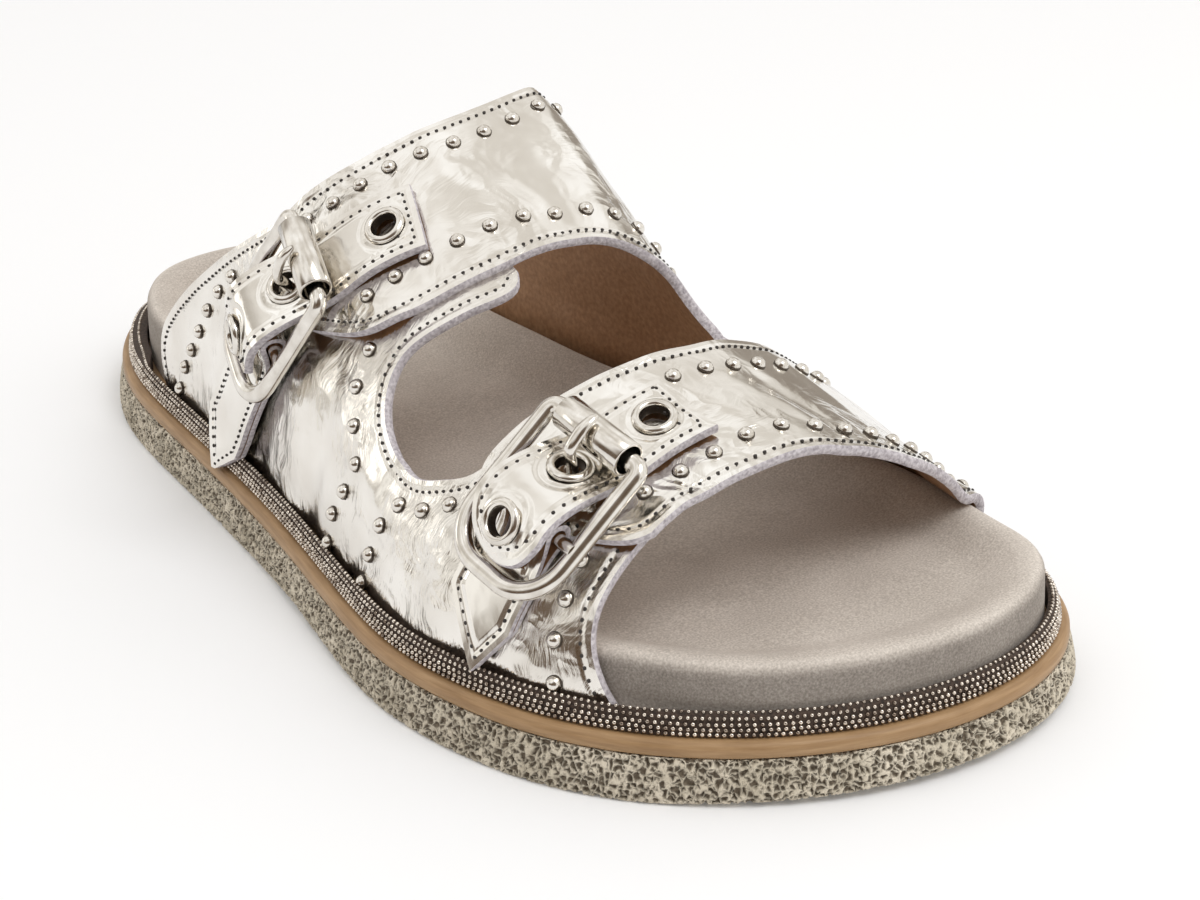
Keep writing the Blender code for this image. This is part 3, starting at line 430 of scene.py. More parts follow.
def repeat_tree(name, shape, material):
    """A tree that sets a scaled primitive on every point, its Z along "face" and its X along "ahead"."""
    tree = bpy.data.node_groups.new(name, "GeometryNodeTree")
    tree.interface.new_socket("Points", in_out="INPUT", socket_type="NodeSocketGeometry")
    for label in ("Length", "Width", "Height"):
        tree.interface.new_socket(label, in_out="INPUT", socket_type="NodeSocketFloat")
    tree.interface.new_socket("Made", in_out="OUTPUT", socket_type="NodeSocketGeometry")
    given = add_node(tree, "NodeGroupInput")
    kind, settings = shape
    solid = add_node(tree, kind, settings)
    scale = add_node(tree, "ShaderNodeCombineXYZ", {"X": given.outputs["Length"], "Y": given.outputs["Width"],
                                                    "Z": given.outputs["Height"]})
    sized = add_node(tree, "GeometryNodeTransform",
                     {"Geometry": solid.outputs["Mesh"], "Scale": scale.outputs[0]})
    named = [add_node(tree, "GeometryNodeInputNamedAttribute", {"Name": label}, data_type=kind)
             for label, kind in (("face", "FLOAT_VECTOR"), ("ahead", "FLOAT_VECTOR"), ("factor", "FLOAT"))]
    face, ahead, factor = (node.outputs["Attribute"] for node in named)
    stood = add_node(tree, "FunctionNodeAlignRotationToVector", {"Vector": face}, axis="Z")
    turned = add_node(tree, "FunctionNodeAlignRotationToVector",
                      {"Rotation": stood.outputs[0], "Vector": ahead}, axis="X", pivot_axis="Z")
    copies = add_node(tree, "GeometryNodeInstanceOnPoints",
                      {"Points": given.outputs["Points"], "Instance": sized.outputs[0],
                       "Rotation": turned.outputs[0], "Scale": factor})
    real = add_node(tree, "GeometryNodeRealizeInstances", {"Geometry": copies.outputs[0]})
    shaded = add_node(tree, "GeometryNodeSetShadeSmooth", {0: real.outputs[0], "Shade Smooth": True})
    painted = add_node(tree, "GeometryNodeSetMaterial", {"Geometry": shaded.outputs[0], "Material": material})
    add_node(tree, "NodeGroupOutput", {0: painted.outputs[0]})
    return tree


def repeat_on(name, spots, faces_out, ahead, tree, length, width, height, factor=1.0):
    """Runs a repeat tree on points in shoe millimetres; sizes are half lengths in millimetres."""
    mesh = bpy.data.meshes.new(name)
    mesh.from_pydata(place(spots).tolist(), [], [])
    turn = np.array([1.0, -1.0, 1.0])
    for label, rows in (("face", faces_out), ("ahead", ahead)):
        layer = mesh.attributes.new(label, "FLOAT_VECTOR", "POINT")
        layer.data.foreach_set("vector", (np.asarray(rows) * turn).astype(np.float32).ravel())
    point_values(mesh, "factor", np.broadcast_to(factor, (len(spots),)))
    obj = bpy.data.objects.new(name, mesh)
    bpy.context.scene.collection.objects.link(obj)
    return bake_tree(obj, tree, {"Length": length * MM, "Width": width * MM, "Height": height * MM})


# Where a bead sits at a share of the slope: share, offset, height
BEAD_SLOPE = np.array([[0.0, -2.0, 11.9], [0.5, -2.25, 13.7], [0.85, BAND_SHOULDER, 15.2], [1.0, -3.1, 15.7]])
BEAD_PROUD = 0.12
_, shoulder_share, crown_share = BEAD_SLOPE[1:, 0]
bead_rows = []
for row, (share, factor) in enumerate(BEAD_ROWS):
    count = int(girth / (BEAD_PITCH + 0.03 * (row % 3)))
    edge, out, _, _ = outline(count)
    crown = (look_up(BAND_INNER, edge[:, 1]) + BAND_SHOULDER) / 2
    past = max(0.0, share - shoulder_share) / (crown_share - shoulder_share)
    offset = look_up(BEAD_SLOPE, share) + (crown - BEAD_SLOPE[-1, 1]) * past
    height = look_up(BEAD_SLOPE, share, 2)
    face = np.column_stack([out, np.full(count, 0.5)])
    along = np.column_stack([-out[:, 1], out[:, 0], np.zeros(count)])
    bead_rows.append((ring(edge, out, offset + BEAD_PROUD, height), face, along, np.full(count, factor)))
spots, out, ahead, sizes = (np.concatenate(part) for part in zip(*bead_rows))
bead_tree = repeat_tree("bead_set", ("GeometryNodeMeshIcoSphere", {"Radius": 1.0, "Subdivisions": 1}), silver)
beads = repeat_on("bead_rows", spots, out, ahead, bead_tree, BEAD_RADIUS, BEAD_RADIUS, BEAD_RADIUS, sizes)
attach(beads, "root")

# Footbed: a moulded cork block covered in grey suede, glued to the welt.
# The cover is lasted over a soft rim, which is painted paler than the dished top and the wall, partly rubbed
# nap and partly painted highlight; the wall is painted darker than the top as painted shade.
# Rows: station, offset of the foot and of the rim, rim height outer and inner, height of the middle
FOOTBED = np.array([
    [-10.0, -6.3, -6.3, 23.4, 23.4, 19.0],
    [30.0, -6.3, -6.5, 24.0, 24.6, 17.5],
    [46.0, -6.7, -8.1, 24.0, 25.6, 17.6],
    [80.0, -6.7, -8.3, 23.6, 27.4, 19.2],
    [112.0, -6.7, -8.3, 23.0, 28.4, 21.0],
    [150.0, -6.7, -8.3, 22.6, 26.4, 20.8],
    [190.0, -6.7, -8.3, 22.4, 23.6, 18.5],
    [231.0, -6.7, -8.2, 22.7, 22.8, 19.3],
    [244.0, -4.6, -4.9, 22.8, 22.8, 19.7],
    [272.0, -4.6, -4.9, 23.0, 23.0, 20.6],
])
BED_AROUND = 360
BED_BASE = 11.65
RIM_ROUND = 2.4
RIM_LEAN = 2.3
DISH_FROM = 3.0
DISH_WIDE = 11.0
suede, tree, shader = new_material("grey_suede", roughness=0.95, Specular_IOR_Level=0.15, Sheen_Weight=0.2,
                                   Sheen_Roughness=0.5)
shader.inputs["Sheen Tint"].default_value = linear("#d8d0c8")
spot = add_node(tree, "ShaderNodeTexCoord").outputs["Object"]
nap = noise_of(tree, spot, 0.4 * MM, 4.0)
cloud = noise_of(tree, spot, 16.0 * MM, 3.0)
part = mixed(tree, 0.25, nap, cloud, "FLOAT")
# Top tone and wall tone: the wall's darker colour is painted shade, for a standing wall that takes less light
# than the top; the rim tone is partly rubbed nap and partly painted highlight
top_tone = colour_ramp(tree, part, [(0.34, "#aba299"), (0.5, "#c2b9b0"), (0.66, "#d7cfc6")])
wall_tone = colour_ramp(tree, part, [(0.34, "#69635d"), (0.5, "#7d766f"), (0.66, "#928b83")])
rim_rub_and_highlight_tone = colour_ramp(tree, part, [(0.34, "#bfb7ae"), (0.66, "#e6ded5")])
light_and_shade_zone = add_node(tree, "ShaderNodeAttribute", attribute_name="light_and_shade_zone").outputs["Fac"]
rub_and_highlight = add_node(tree, "ShaderNodeAttribute", attribute_name="rub_and_highlight").outputs["Fac"]
body = mixed(tree, light_and_shade_zone, wall_tone, top_tone)
wear(tree, shader, mixed(tree, rub_and_highlight, body, rim_rub_and_highlight_tone), nap, 0.35, 0.15)

edge, out, _, _ = outline(BED_AROUND)
fine_edge, fine_out, _, _ = outline(1200)


def edge_x(station, side, offset):
    """x of the offset outline at a station, outer side -1 or inner side +1."""
    points = fine_edge + fine_out * offset
    top = int(points[:, 1].argmax())
    half = points[:top + 1] if side < 0 else points[top:][::-1]
    order = np.argsort(half[:, 1])
    return np.interp(station, half[order, 1], half[order, 0])


def soft(table, at, column):
    """Table reading with rounded joints between its rows."""
    return sum(look_up(table, at + shift, column) for shift in (-6.0, -3.0, 0.0, 3.0, 6.0)) / 5


foot, rim, outer_z, inner_z = (soft(FOOTBED, edge[:, 1], k) for k in (1, 2, 3, 4))
inner_share = 1 / (1 + np.exp(-edge[:, 0] / 6.0))
rim_z = outer_z * (1 - inner_share) + inner_z * inner_share
spine_s = np.clip(edge[:, 1], 36.0, 222.0)
spine = np.column_stack([(edge_x(spine_s, -1, -6.0) + edge_x(spine_s, 1, -6.0)) / 2, spine_s])
wall_top = ring(edge, out, rim, rim_z - RIM_ROUND)
rings = [ring(edge, out, foot, BED_BASE)]
for share in (0.35, 0.7):
    height = BED_BASE + (rim_z - RIM_ROUND - BED_BASE) * share
    rings.append(ring(edge, out, foot + (rim - foot) * share, height))
rings.append(wall_top)
for turn in (0.35, 0.75, 1.1, 1.35):
    lean = RIM_LEAN * (1 - math.cos(turn))
    rings.append(ring(edge, out, rim - lean, rim_z - RIM_ROUND + RIM_ROUND * math.sin(turn)))
for share in np.linspace(0.085, 0.72, 16):
    flat = wall_top[:, :2] * (1 - share) + share * spine
    deep = np.linalg.norm(flat - wall_top[:, :2], axis=1)
    fall = 0.5 + 0.5 * np.cos(math.pi * np.clip((deep - DISH_FROM) / DISH_WIDE, 0.0, 1.0))
    middle = soft(FOOTBED, flat[:, 1], 5)
    rings.append(np.column_stack([flat, middle + (rim_z - middle) * fall]))
points, faces = loft(rings, closed=False)
footbed = new_piece("footbed_suede", points, faces, [suede], sharp=70.0)
# Ring by ring from the wall's foot inward: 0 wall to 1 top, where the wall tone is painted shade and the top
# tone mixed in low on the wall is painted light against the shade at its foot; and how far the rim is painted
# pale, partly rubbed nap and partly painted highlight
light_and_shade_zones = np.concatenate([[0.9, 0.6, 0.3, 0.25, 0.4, 0.7, 0.95], np.ones(17)])
rub_and_highlight_shares = np.concatenate([np.zeros(5), [0.3, 0.8, 0.7, 0.3], np.zeros(15)])
point_values(footbed.data, "light_and_shade_zone", np.repeat(light_and_shade_zones, BED_AROUND))
point_values(footbed.data, "rub_and_highlight", np.repeat(rub_and_highlight_shares, BED_AROUND))
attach(footbed, "root")
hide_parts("footbed")

# Upper: foil-faced leather, a main sheet of inner panel and two straps lapped over an outer panel.
# The mirror foil creases where the leather was pulled over the last; cut edges show pale fibres
# and the back is glued to a brown lining.
# Sections: station, crest x and height, fullness of the outer and inner half, lay girth
SECTIONS = np.array([
    [40.0, 10.0, 96.0, 2.20, 2.60, 197.1],
    [80.0, 14.0, 93.0, 2.20, 2.80, 195.8],
    [110.0, 18.0, 87.5, 2.24, 3.10, 186.9],
    [135.0, 13.9, 77.5, 2.12, 2.63, 173.9],
    [160.0, 4.6, 65.1, 2.05, 2.00, 164.1],
    [185.0, 4.1, 58.0, 2.00, 1.68, 159.0],
    [210.0, 2.6, 50.8, 2.02, 1.60, 147.7],
    [235.0, 6.6, 45.3, 2.11, 1.65, 121.4],
    [255.0, 11.0, 38.0, 2.40, 2.50, 76.0],
])
UPPER_BASE_Z = 11.75
UPPER_BASE_OFFSET = -4.2
UPPER_WALL = 2.0
STRAP_RAISE = 1.5
RIM_CLEAR = 4.95
RIM_BACK = 6.35
RIM_LET_GO = 3.0
PLAN = 170.0
LEATHER_STEP = 1.35
GRID_S = np.arange(44.0, 252.0, 1.0)
GRID_T = np.linspace(0.0, 1.0, 241)


def section(station):
    """Points across one section from the outer base to the inner base, by arc share, and its lay girth.
    The inner wall stands clear of the footbed's rim before it leans in."""
    read = spline(SECTIONS[:, 0], SECTIONS[:, 1:], np.array([station]))
    crest_x, crest_z, full_outer, full_inner, lay = read[0]
    outer_x = edge_x(station, -1, UPPER_BASE_OFFSET)
    inner_x = edge_x(station, 1, UPPER_BASE_OFFSET)
    angle = np.linspace(0.0, math.pi, 361)
    across = np.cos(angle)
    full = np.where(across > 0, full_outer, full_inner)
    reach = np.abs(across) ** (2 / full)
    x = np.where(across > 0, crest_x - (crest_x - outer_x) * reach, crest_x + (inner_x - crest_x) * reach)
    z = UPPER_BASE_Z + (crest_z - UPPER_BASE_Z) * np.clip(np.sin(angle), 0.0, 1.0) ** (2 / full)
    above = np.maximum(0.0, z - look_up(FOOTBED, station, 4) + RIM_ROUND)
    round_rim = np.sqrt(np.maximum(0.0, RIM_CLEAR ** 2 - above ** 2))
    wall = inner_x - RIM_BACK + round_rim - RIM_LET_GO * np.maximum(0.0, above - RIM_CLEAR)
    x = np.where(across < 0, (x + wall + np.sqrt((x - wall) ** 2 + 0.5)) / 2, x)
    run = np.concatenate([[0.0], np.cumsum(np.hypot(np.diff(x), np.diff(z)))])
    at = np.where(GRID_T < 0.5, GRID_T * lay, 0.5 * lay + (2 * GRID_T - 1) * (run[-1] - 0.5 * lay))
    return np.interp(at, run, x), np.interp(at, run, z), lay


surface = np.zeros((len(GRID_S), len(GRID_T), 3))
arc_girth = np.zeros(len(GRID_S))
for row, station in enumerate(GRID_S):
    surface[row, :, 0], surface[row, :, 2], arc_girth[row] = section(station)
    surface[row, :, 1] = station
surface_normal = unit(np.cross(np.gradient(surface, axis=0), np.gradient(surface, axis=1)))
if surface_normal[100, 120, 2] < 0:
    surface_normal = -surface_normal


def blend(grid, station, share):
    """Bilinear reading of a grid over station and arc share."""
    u = np.clip(np.asarray(station, float) - GRID_S[0], 0.0, len(GRID_S) - 1.001)
    v = np.clip(np.asarray(share, float) * (len(GRID_T) - 1), 0.0, len(GRID_T) - 1.001)
    i = u.astype(int)
    j = v.astype(int)
    p = (u - i)[..., None]
    q = (v - j)[..., None]
    low = grid[i, j] * (1 - p) + grid[i + 1, j] * p
    high = grid[i, j + 1] * (1 - p) + grid[i + 1, j + 1] * p
    return low * (1 - q) + high * q


def upper_normal(station, share):
    """Outward normal of the upper, made level at its base lines."""
    share = np.asarray(share, float)
    level = np.clip(1 - share / 0.03, 0.0, 1.0) + np.clip((share - 0.97) / 0.03, 0.0, 1.0)
    normal = blend(surface_normal, station, share).copy()
    normal[..., 2] *= 1 - level
    return unit(normal)


def on_upper(station, share, lift):
    """Point at a lift above the upper's outer surface."""
    return blend(surface, station, share) + upper_normal(station, share) * np.asarray(lift, float)[..., None]


def smooth_path(rows, step):
    """Curve through rows of two columns, cut to about one step; its end point is left to the next path."""
    rows = np.asarray(rows, float)
    knots = np.concatenate([[0.0], np.cumsum(np.linalg.norm(np.diff(rows, axis=0), axis=1) ** 0.5)])
    fine = np.linspace(0, knots[-1], 600)
    if len(rows) > 2:
        path = spline(knots, rows, fine)
    else:
        path = rows[0] + (rows[1] - rows[0]) * (fine / fine[-1])[:, None]
    run = run_along(path)
    count = max(1, int(round(run[-1] / step)))
    at = np.interp(np.arange(count) * run[-1] / count, run, fine)
    return np.column_stack([np.interp(at, fine, path[:, 0]), np.interp(at, fine, path[:, 1])])


def inside_loops(points, loops):
    """Even-odd test of points against closed loops."""
    found = np.zeros(len(points), bool)
    for loop in loops:
        for a, b in zip(loop, np.roll(loop, -1, axis=0)):
            crosses = (a[1] > points[:, 1]) != (b[1] > points[:, 1])
            if crosses.any():
                at = a[0] + (points[:, 1] - a[1]) * (b[0] - a[0]) / (b[1] - a[1] + 1e-12)
                found ^= crosses & (points[:, 0] < at)
    return found


def plan_path(rows, step):
    """Smooth path in the plan, in millimetres, through rows of station and arc share."""
    return smooth_path(np.array(rows, float) * [1.0, PLAN], step)


def sheet(name, loops, step, mapped, thick, materials, bulge=0.3):
    """A piece of leather: loops bound it in the plane, mapped(points, depth) sets it in space.
    Materials are its outer face, its back and its cut edge; "inset" holds the way in from the edge."""
    edge = np.concatenate(loops)
    low = edge.min(axis=0)
    high = edge.max(axis=0)
    rows = []
    for k, v in enumerate(np.arange(low[1] + step / 2, high[1], step * 0.87)):
        u = np.arange(low[0] + step / 2 * (1 + k % 2), high[0], step)
        rows.append(np.column_stack([u, np.full(len(u), v)]))
    grid = np.concatenate(rows)
    grid = grid[inside_loops(grid, loops)]
    near = np.full(len(grid), 1e9)
    for p in edge:
        near = np.minimum(near, np.hypot(grid[:, 0] - p[0], grid[:, 1] - p[1]))
    flat = np.concatenate([edge, grid[near > step * 0.6]])
    links = []
    first = 0
    for loop in loops:
        links += [(first + i, first + (i + 1) % len(loop)) for i in range(len(loop))]
        first += len(loop)
    found = delaunay_2d_cdt([tuple(p) for p in flat], links, [], 0, 1e-6)
    flat = np.array([tuple(p) for p in found[0]])
    triangles = np.array([list(face) for face in found[2]])
    triangles = triangles[inside_loops(flat[triangles].mean(axis=1), loops)]
    sides = np.concatenate([triangles[:, [0, 1]], triangles[:, [1, 2]], triangles[:, [2, 0]]])
    _, index, times = np.unique(np.sort(sides, axis=1), axis=0, return_inverse=True, return_counts=True)
    border = sides[times[index.reshape(-1)] == 1]
    rim = np.unique(border)
    where = np.full(len(flat), -1)
    where[rim] = np.arange(len(rim))
    ahead = np.zeros((len(flat), 2))
    for a, b in border:
        ahead[[a, b]] += flat[b] - flat[a]
    away = np.column_stack([ahead[rim, 1], -ahead[rim, 0]])
    away /= np.linalg.norm(away, axis=1)[:, None] + 1e-9
    face_points = mapped(flat, 0.0)
    bulged = [mapped(flat[rim] + away * bulge, thick * share) for share in (0.25, 0.75)]
    levels = [face_points, *bulged, mapped(flat, thick)]
    near_rim = KDTree(len(rim))
    for number, p in enumerate(face_points[rim]):
        near_rim.insert(p, number)
    near_rim.balance()
    inset = np.array([near_rim.find(p)[2] for p in face_points])
    starts = np.cumsum([0] + [len(level) for level in levels])
    faces = triangles.tolist() + (triangles[:, ::-1] + starts[3]).tolist()
    slots = [0] * len(triangles) + [1] * len(triangles)
    for a, b in border:
        chain = [(a, b)] + [(starts[k] + where[a], starts[k] + where[b]) for k in (1, 2)]
        chain.append((starts[3] + a, starts[3] + b))
        for (p, q), (r, t) in zip(chain, chain[1:]):
            faces.append([q, p, r, t])
            slots.append(2)
    uv = np.concatenate([flat, flat[rim], flat[rim], flat])
    obj = new_piece(name, np.concatenate(levels), faces, materials, slots, sharp=50.0, uv=uv)
    point_values(obj.data, "inset", np.concatenate([inset, np.zeros(2 * len(rim)), inset]))
    return obj


# Foil finish: a warm silver mirror. It is broken by crumples, fine crinkles and hair creases, which
# are strong low on the sides and fade towards the crest, and by the groove along each row of stitches
STITCH_INSET = 2.0
GROOVE_HALF = 1.1
GROOVE_DEPTH = 0.22
CRUMPLE_SIZE = 8.0
CRINKLE_SIZE = 3.0
HAIR_WIDE = 0.8
HAIR_LONG = 7.0


def foil_leather(name, crumple_high, crinkle_high, hair_high, strong_below, smooth_above):
    """Foil with heights of its crumples, crinkles and hair creases; they fade over an arc share."""
    material, tree, shader = new_material(name, roughness=0.15, metallic=1.0)
    spot = add_node(tree, "ShaderNodeTexCoord").outputs["Object"]
    flat_spot = add_node(tree, "ShaderNodeUVMap", uv_map="run").outputs["UV"]
    tone = noise_of(tree, spot, 14.0 * MM, 3.0)
    wear(tree, shader, colour_ramp(tree, tone, [(0.3, "#e0dbd3"), (0.7, "#f2efe9")]))
    wander = noise_of(tree, flat_spot, 18.0, 2.0, "Color", noise_dimensions="2D")
    swirl = swung(tree, flat_spot, wander, 14.0)
    hair_scale = (1 / HAIR_WIDE, 1 / HAIR_LONG, 1.0)
    hair_spot = add_node(tree, "ShaderNodeMapping", {"Vector": swirl, "Scale": hair_scale}).outputs["Vector"]
    hair_inputs = {"Vector": hair_spot, "Scale": 1.0, "Detail": 3.0, "Roughness": 0.6}
    hair = add_node(tree, "ShaderNodeTexNoise", hair_inputs, noise_dimensions="2D").outputs["Fac"]
    cells = [add_node(tree, "ShaderNodeTexVoronoi", {"Vector": swirl, "Scale": 1 / size, "Smoothness": 0.2},
                      voronoi_dimensions="2D", feature="SMOOTH_F1").outputs["Distance"]
             for size in (CRUMPLE_SIZE, CRINKLE_SIZE)]
    inset = add_node(tree, "ShaderNodeAttribute", attribute_name="inset").outputs["Fac"]
    row_way = maths(tree, "ABSOLUTE", maths(tree, "SUBTRACT", inset, STITCH_INSET))
    groove = ranged(tree, row_way, 0.0, GROOVE_HALF, interpolation_type="SMOOTHSTEP")
    patch = noise_of(tree, flat_spot, 24.0, 1.0, noise_dimensions="2D")
    patchy = ranged(tree, patch, 0.38, 0.62, 0.35)
    arc = add_node(tree, "ShaderNodeSeparateXYZ", {0: flat_spot}).outputs["Y"]
    low_down = ranged(tree, arc, strong_below * PLAN, smooth_above * PLAN, 1.0, 0.45)
    strong = maths(tree, "MULTIPLY", patchy, low_down)
    sewn_in = {"Height": groove, "Strength": 0.8, "Distance": GROOVE_DEPTH * MM}
    normal = add_node(tree, "ShaderNodeBump", sewn_in).outputs[0]
    for height, high in ((cells[0], crumple_high), (cells[1], crinkle_high), (hair, hair_high)):
        creased = {"Height": height, "Strength": strong, "Distance": high * MM, "Normal": normal}
        normal = add_node(tree, "ShaderNodeBump", creased).outputs[0]
    tree.links.new(normal, shader.inputs["Normal"])
    return material


strap_foil = foil_leather("champagne_foil_leather", 0.75, 0.30, 0.12, 0.34, 0.52)
panel_foil = foil_leather("drawn_foil_leather", 0.35, 0.14, 0.13, 0.30, 0.60)
tab_foil = foil_leather("smooth_foil_leather", 0.14, 0.05, 0.02, 1.0, 2.0)

# Lining: smooth brown leather, a little darker in its grain
lining = grained("brown_lining_leather", 1.0, 4.0, [(0.3, "#946f50"), (0.7, "#b18a68")], 0.3, 0.15,
                 roughness=0.45, Specular_IOR_Level=0.3)

# Cut edge: raw fibres, pale and faintly lavender, with loose ends
cut_edge = grained("cut_leather_edge", 0.7, 5.0, [(0.3, "#a39ca2"), (0.65, "#dcd7db")], 0.8, 0.3,
                   roughness=0.9, Specular_IOR_Level=0.2)

# Edges of the sheets: station, share of the arc from the outer base
REAR_EDGE = [(63, 1.0), (73, 0.93), (84, 0.865), (92, 0.815), (104, 0.74), (115, 0.65), (119.5, 0.54),
             (117, 0.42), (109, 0.335), (104.5, 0.285), (103.5, 0.258)]
BACK_TIP = [(103.5, 0.258), (106, 0.23), (114, 0.213), (124, 0.215), (135, 0.235), (143.5, 0.26),
            (147.5, 0.29), (150, 0.32), (152, 0.35), (154, 0.39), (155.5, 0.44), (156, 0.52), (159, 0.64),
            (158, 0.71), (160, 0.76), (167, 0.79), (177, 0.785), (186, 0.745), (190, 0.675), (191, 0.565),
            (191.5, 0.5), (189.5, 0.40), (186.5, 0.29)]
FRONT_TIP = [(186.5, 0.29), (186.5, 0.225), (189.5, 0.205), (196, 0.195), (204, 0.195), (213, 0.205),
             (219.5, 0.222), (221.5, 0.24)]
FRONT_EDGE = [(221.5, 0.24), (223, 0.36), (226, 0.5), (227.5, 0.62), (227, 0.72), (225, 0.82), (223, 0.90),
              (222, 1.0)]
INNER_BASE = [(222, 1.0), (63, 1.0)]
PANEL_REAR = [(119.5, 0.44), (108.5, 0.32), (100.5, 0.275), (88, 0.222), (64, 0.12), (55.5, 0.06), (58, 0.0)]
PANEL_BASE = [(58, 0.0), (228, 0.0)]
PANEL_FRONT = [(228, 0.0), (222, 0.08), (220, 0.13), (219.5, 0.20), (219.5, 0.30), (219, 0.40)]
PANEL_FRONT_END = [(219, 0.40), (189.5, 0.385)]
PANEL_CUTOUT = [(189.5, 0.385), (187.5, 0.29), (185, 0.215), (179, 0.188), (172, 0.172), (163, 0.183),
                (156, 0.21), (153, 0.245), (152.8, 0.27), (154, 0.297), (156, 0.327), (158, 0.36),
                (160, 0.397), (159.6, 0.42), (157, 0.432)]
PANEL_BACK_END = [(157, 0.432), (119.5, 0.44)]
# Main creases: path of station and arc share, half width, height of a ridge or depth of a trough
STRAP_CREASES = [
    ([(119, 0.375), (114, 0.335), (108, 0.295)], 2.4, -0.45),
    ([(123, 0.37), (117, 0.325), (111, 0.285)], 2.2, 0.35),
    ([(131, 0.42), (138, 0.455), (146, 0.50)], 3.4, 0.40),
    ([(128, 0.47), (139, 0.51), (151, 0.52)], 3.0, -0.35),
    ([(121, 0.295), (130, 0.335), (138, 0.39)], 3.0, -0.45),
    ([(125, 0.58), (136, 0.60), (150, 0.585)], 3.6, 0.35),
    ([(114, 0.70), (128, 0.69), (146, 0.67)], 3.8, 0.45),
    ([(108, 0.77), (126, 0.78), (148, 0.75)], 3.4, -0.5),
    ([(96, 0.86), (114, 0.87), (140, 0.86)], 4.0, 0.5),
    ([(84, 0.92), (104, 0.95), (124, 0.97)], 4.4, -0.5),
    ([(150, 0.82), (146, 0.90), (140, 0.98)], 3.2, 0.45),
    ([(160, 0.83), (157, 0.90), (152, 0.99)], 2.4, -0.4),
    ([(184, 0.80), (190, 0.88), (192, 0.97)], 3.2, -0.45),
    ([(198, 0.74), (206, 0.83), (210, 0.95)], 3.6, 0.45),
    ([(202, 0.50), (209, 0.525), (217, 0.54)], 2.8, 0.40),
    ([(203, 0.555), (213, 0.565), (222, 0.56)], 2.6, -0.40),
    ([(196, 0.64), (207, 0.66), (221, 0.65)], 3.2, 0.40),
    ([(213, 0.325), (216, 0.365), (219, 0.40)], 2.0, -0.40),
    ([(196, 0.41), (205, 0.44), (214, 0.45)], 3.0, 0.35),
    ([(134, 0.23), (143, 0.252), (149, 0.285)], 5.0, 1.6),
    ([(214, 0.205), (220, 0.235), (222, 0.29)], 5.0, 1.5),
]
PANEL_CREASES = [
    ([(112, 0.16), (111, 0.09), (109, 0.03)], 5.0, -0.75),
    ([(126, 0.17), (127, 0.095), (126, 0.02)], 5.0, 0.65),
    ([(97, 0.16), (91, 0.095), (86, 0.03)], 4.5, 0.55),
    ([(138, 0.20), (139, 0.12), (136, 0.03)], 3.6, -0.50),
    ([(149, 0.25), (150, 0.20), (156, 0.165)], 2.0, -0.35),
    ([(152, 0.175), (156, 0.15), (161, 0.13)], 1.8, 0.35),
    ([(180, 0.135), (182, 0.095), (182, 0.04)], 2.8, -0.50),
    ([(187, 0.145), (189, 0.105), (189, 0.05)], 2.6, 0.45),
    ([(172, 0.15), (181, 0.165), (189, 0.19)], 1.8, -0.40),
    ([(215, 0.17), (213, 0.10), (210, 0.04)], 2.6, -0.55),
    ([(208, 0.16), (206, 0.10), (203, 0.04)], 2.8, 0.45),
    ([(74, 0.12), (68, 0.07), (62, 0.02)], 3.0, -0.40),
]
# Lapped seam low on the outer side, from the cut-out to the base, and its like on the inner side
PANEL_SEAM = [(167, 0.176), (166, 0.145), (163, 0.09), (156, 0.0)]
INNER_SEAM = [(164, 0.786), (160, 0.83), (154, 0.91), (150, 1.0)]
SEAM_STEP = 0.35
SEAM_FADE = 9.0
SEAM_GROOVE = 0.3
SEAM_HALF = 1.2
# Soft unevenness of the leather: size across and height
UNEVEN = ((15.0, 0.30), (6.5, 0.11))
# The straps come down to the upper's own surface past the lap: from this share of the arc, over this much
LAP_FROM = 0.44
LAP_OVER = 0.10
EDGE_STEP = 1.3


def way_to(flat, rows):
    """Distance of points from a path in the plan, and whether they are ahead of it."""
    path = plan_path(rows, 1.0)
    near = np.full(len(flat), 1e9)
    ahead = np.zeros(len(flat), bool)
    for p in path:
        far = np.hypot(flat[:, 0] - p[0], flat[:, 1] - p[1])
        closer = far < near
        ahead = np.where(closer, flat[:, 0] > p[0], ahead)
        near = np.minimum(near, far)
    return near, ahead


def leather_relief(flat, creases, seam, seed):
    """Listed creases, the step and groove of a seam, and the soft unevenness of lasted leather."""
    lift = np.zeros(len(flat))
    for rows, half, height in creases:
        near, _ = way_to(flat, rows)
        lift += height * np.exp(-(near / half) ** 2)
    near, ahead = way_to(flat, seam)
    step = np.where(ahead, -SEAM_STEP, 0.0) * np.exp(-(near / SEAM_FADE) ** 2)
    lift += step - SEAM_GROOVE * np.exp(-(near / SEAM_HALF) ** 2)
    for size, height in UNEVEN:
        lift += [height * noise.noise(Vector((u / size, v / size, seed))) for u, v in flat]
    return lift


def strap_map(flat, depth):
    """Main sheet in space, raised where the straps lap over the outer panel."""
    share = flat[:, 1] / PLAN
    lap = STRAP_RAISE * (0.5 + 0.5 * np.cos(math.pi * np.clip((share - LAP_FROM) / LAP_OVER, 0.0, 1.0)))
    uneven = leather_relief(flat, STRAP_CREASES, INNER_SEAM, 3.0)
    return on_upper(flat[:, 0], share, lap + uneven - depth)


def panel_map(flat, depth):
    """Outer panel in space."""
    uneven = leather_relief(flat, PANEL_CREASES, PANEL_SEAM, 8.0)
    return on_upper(flat[:, 0], flat[:, 1] / PLAN, uneven - depth)


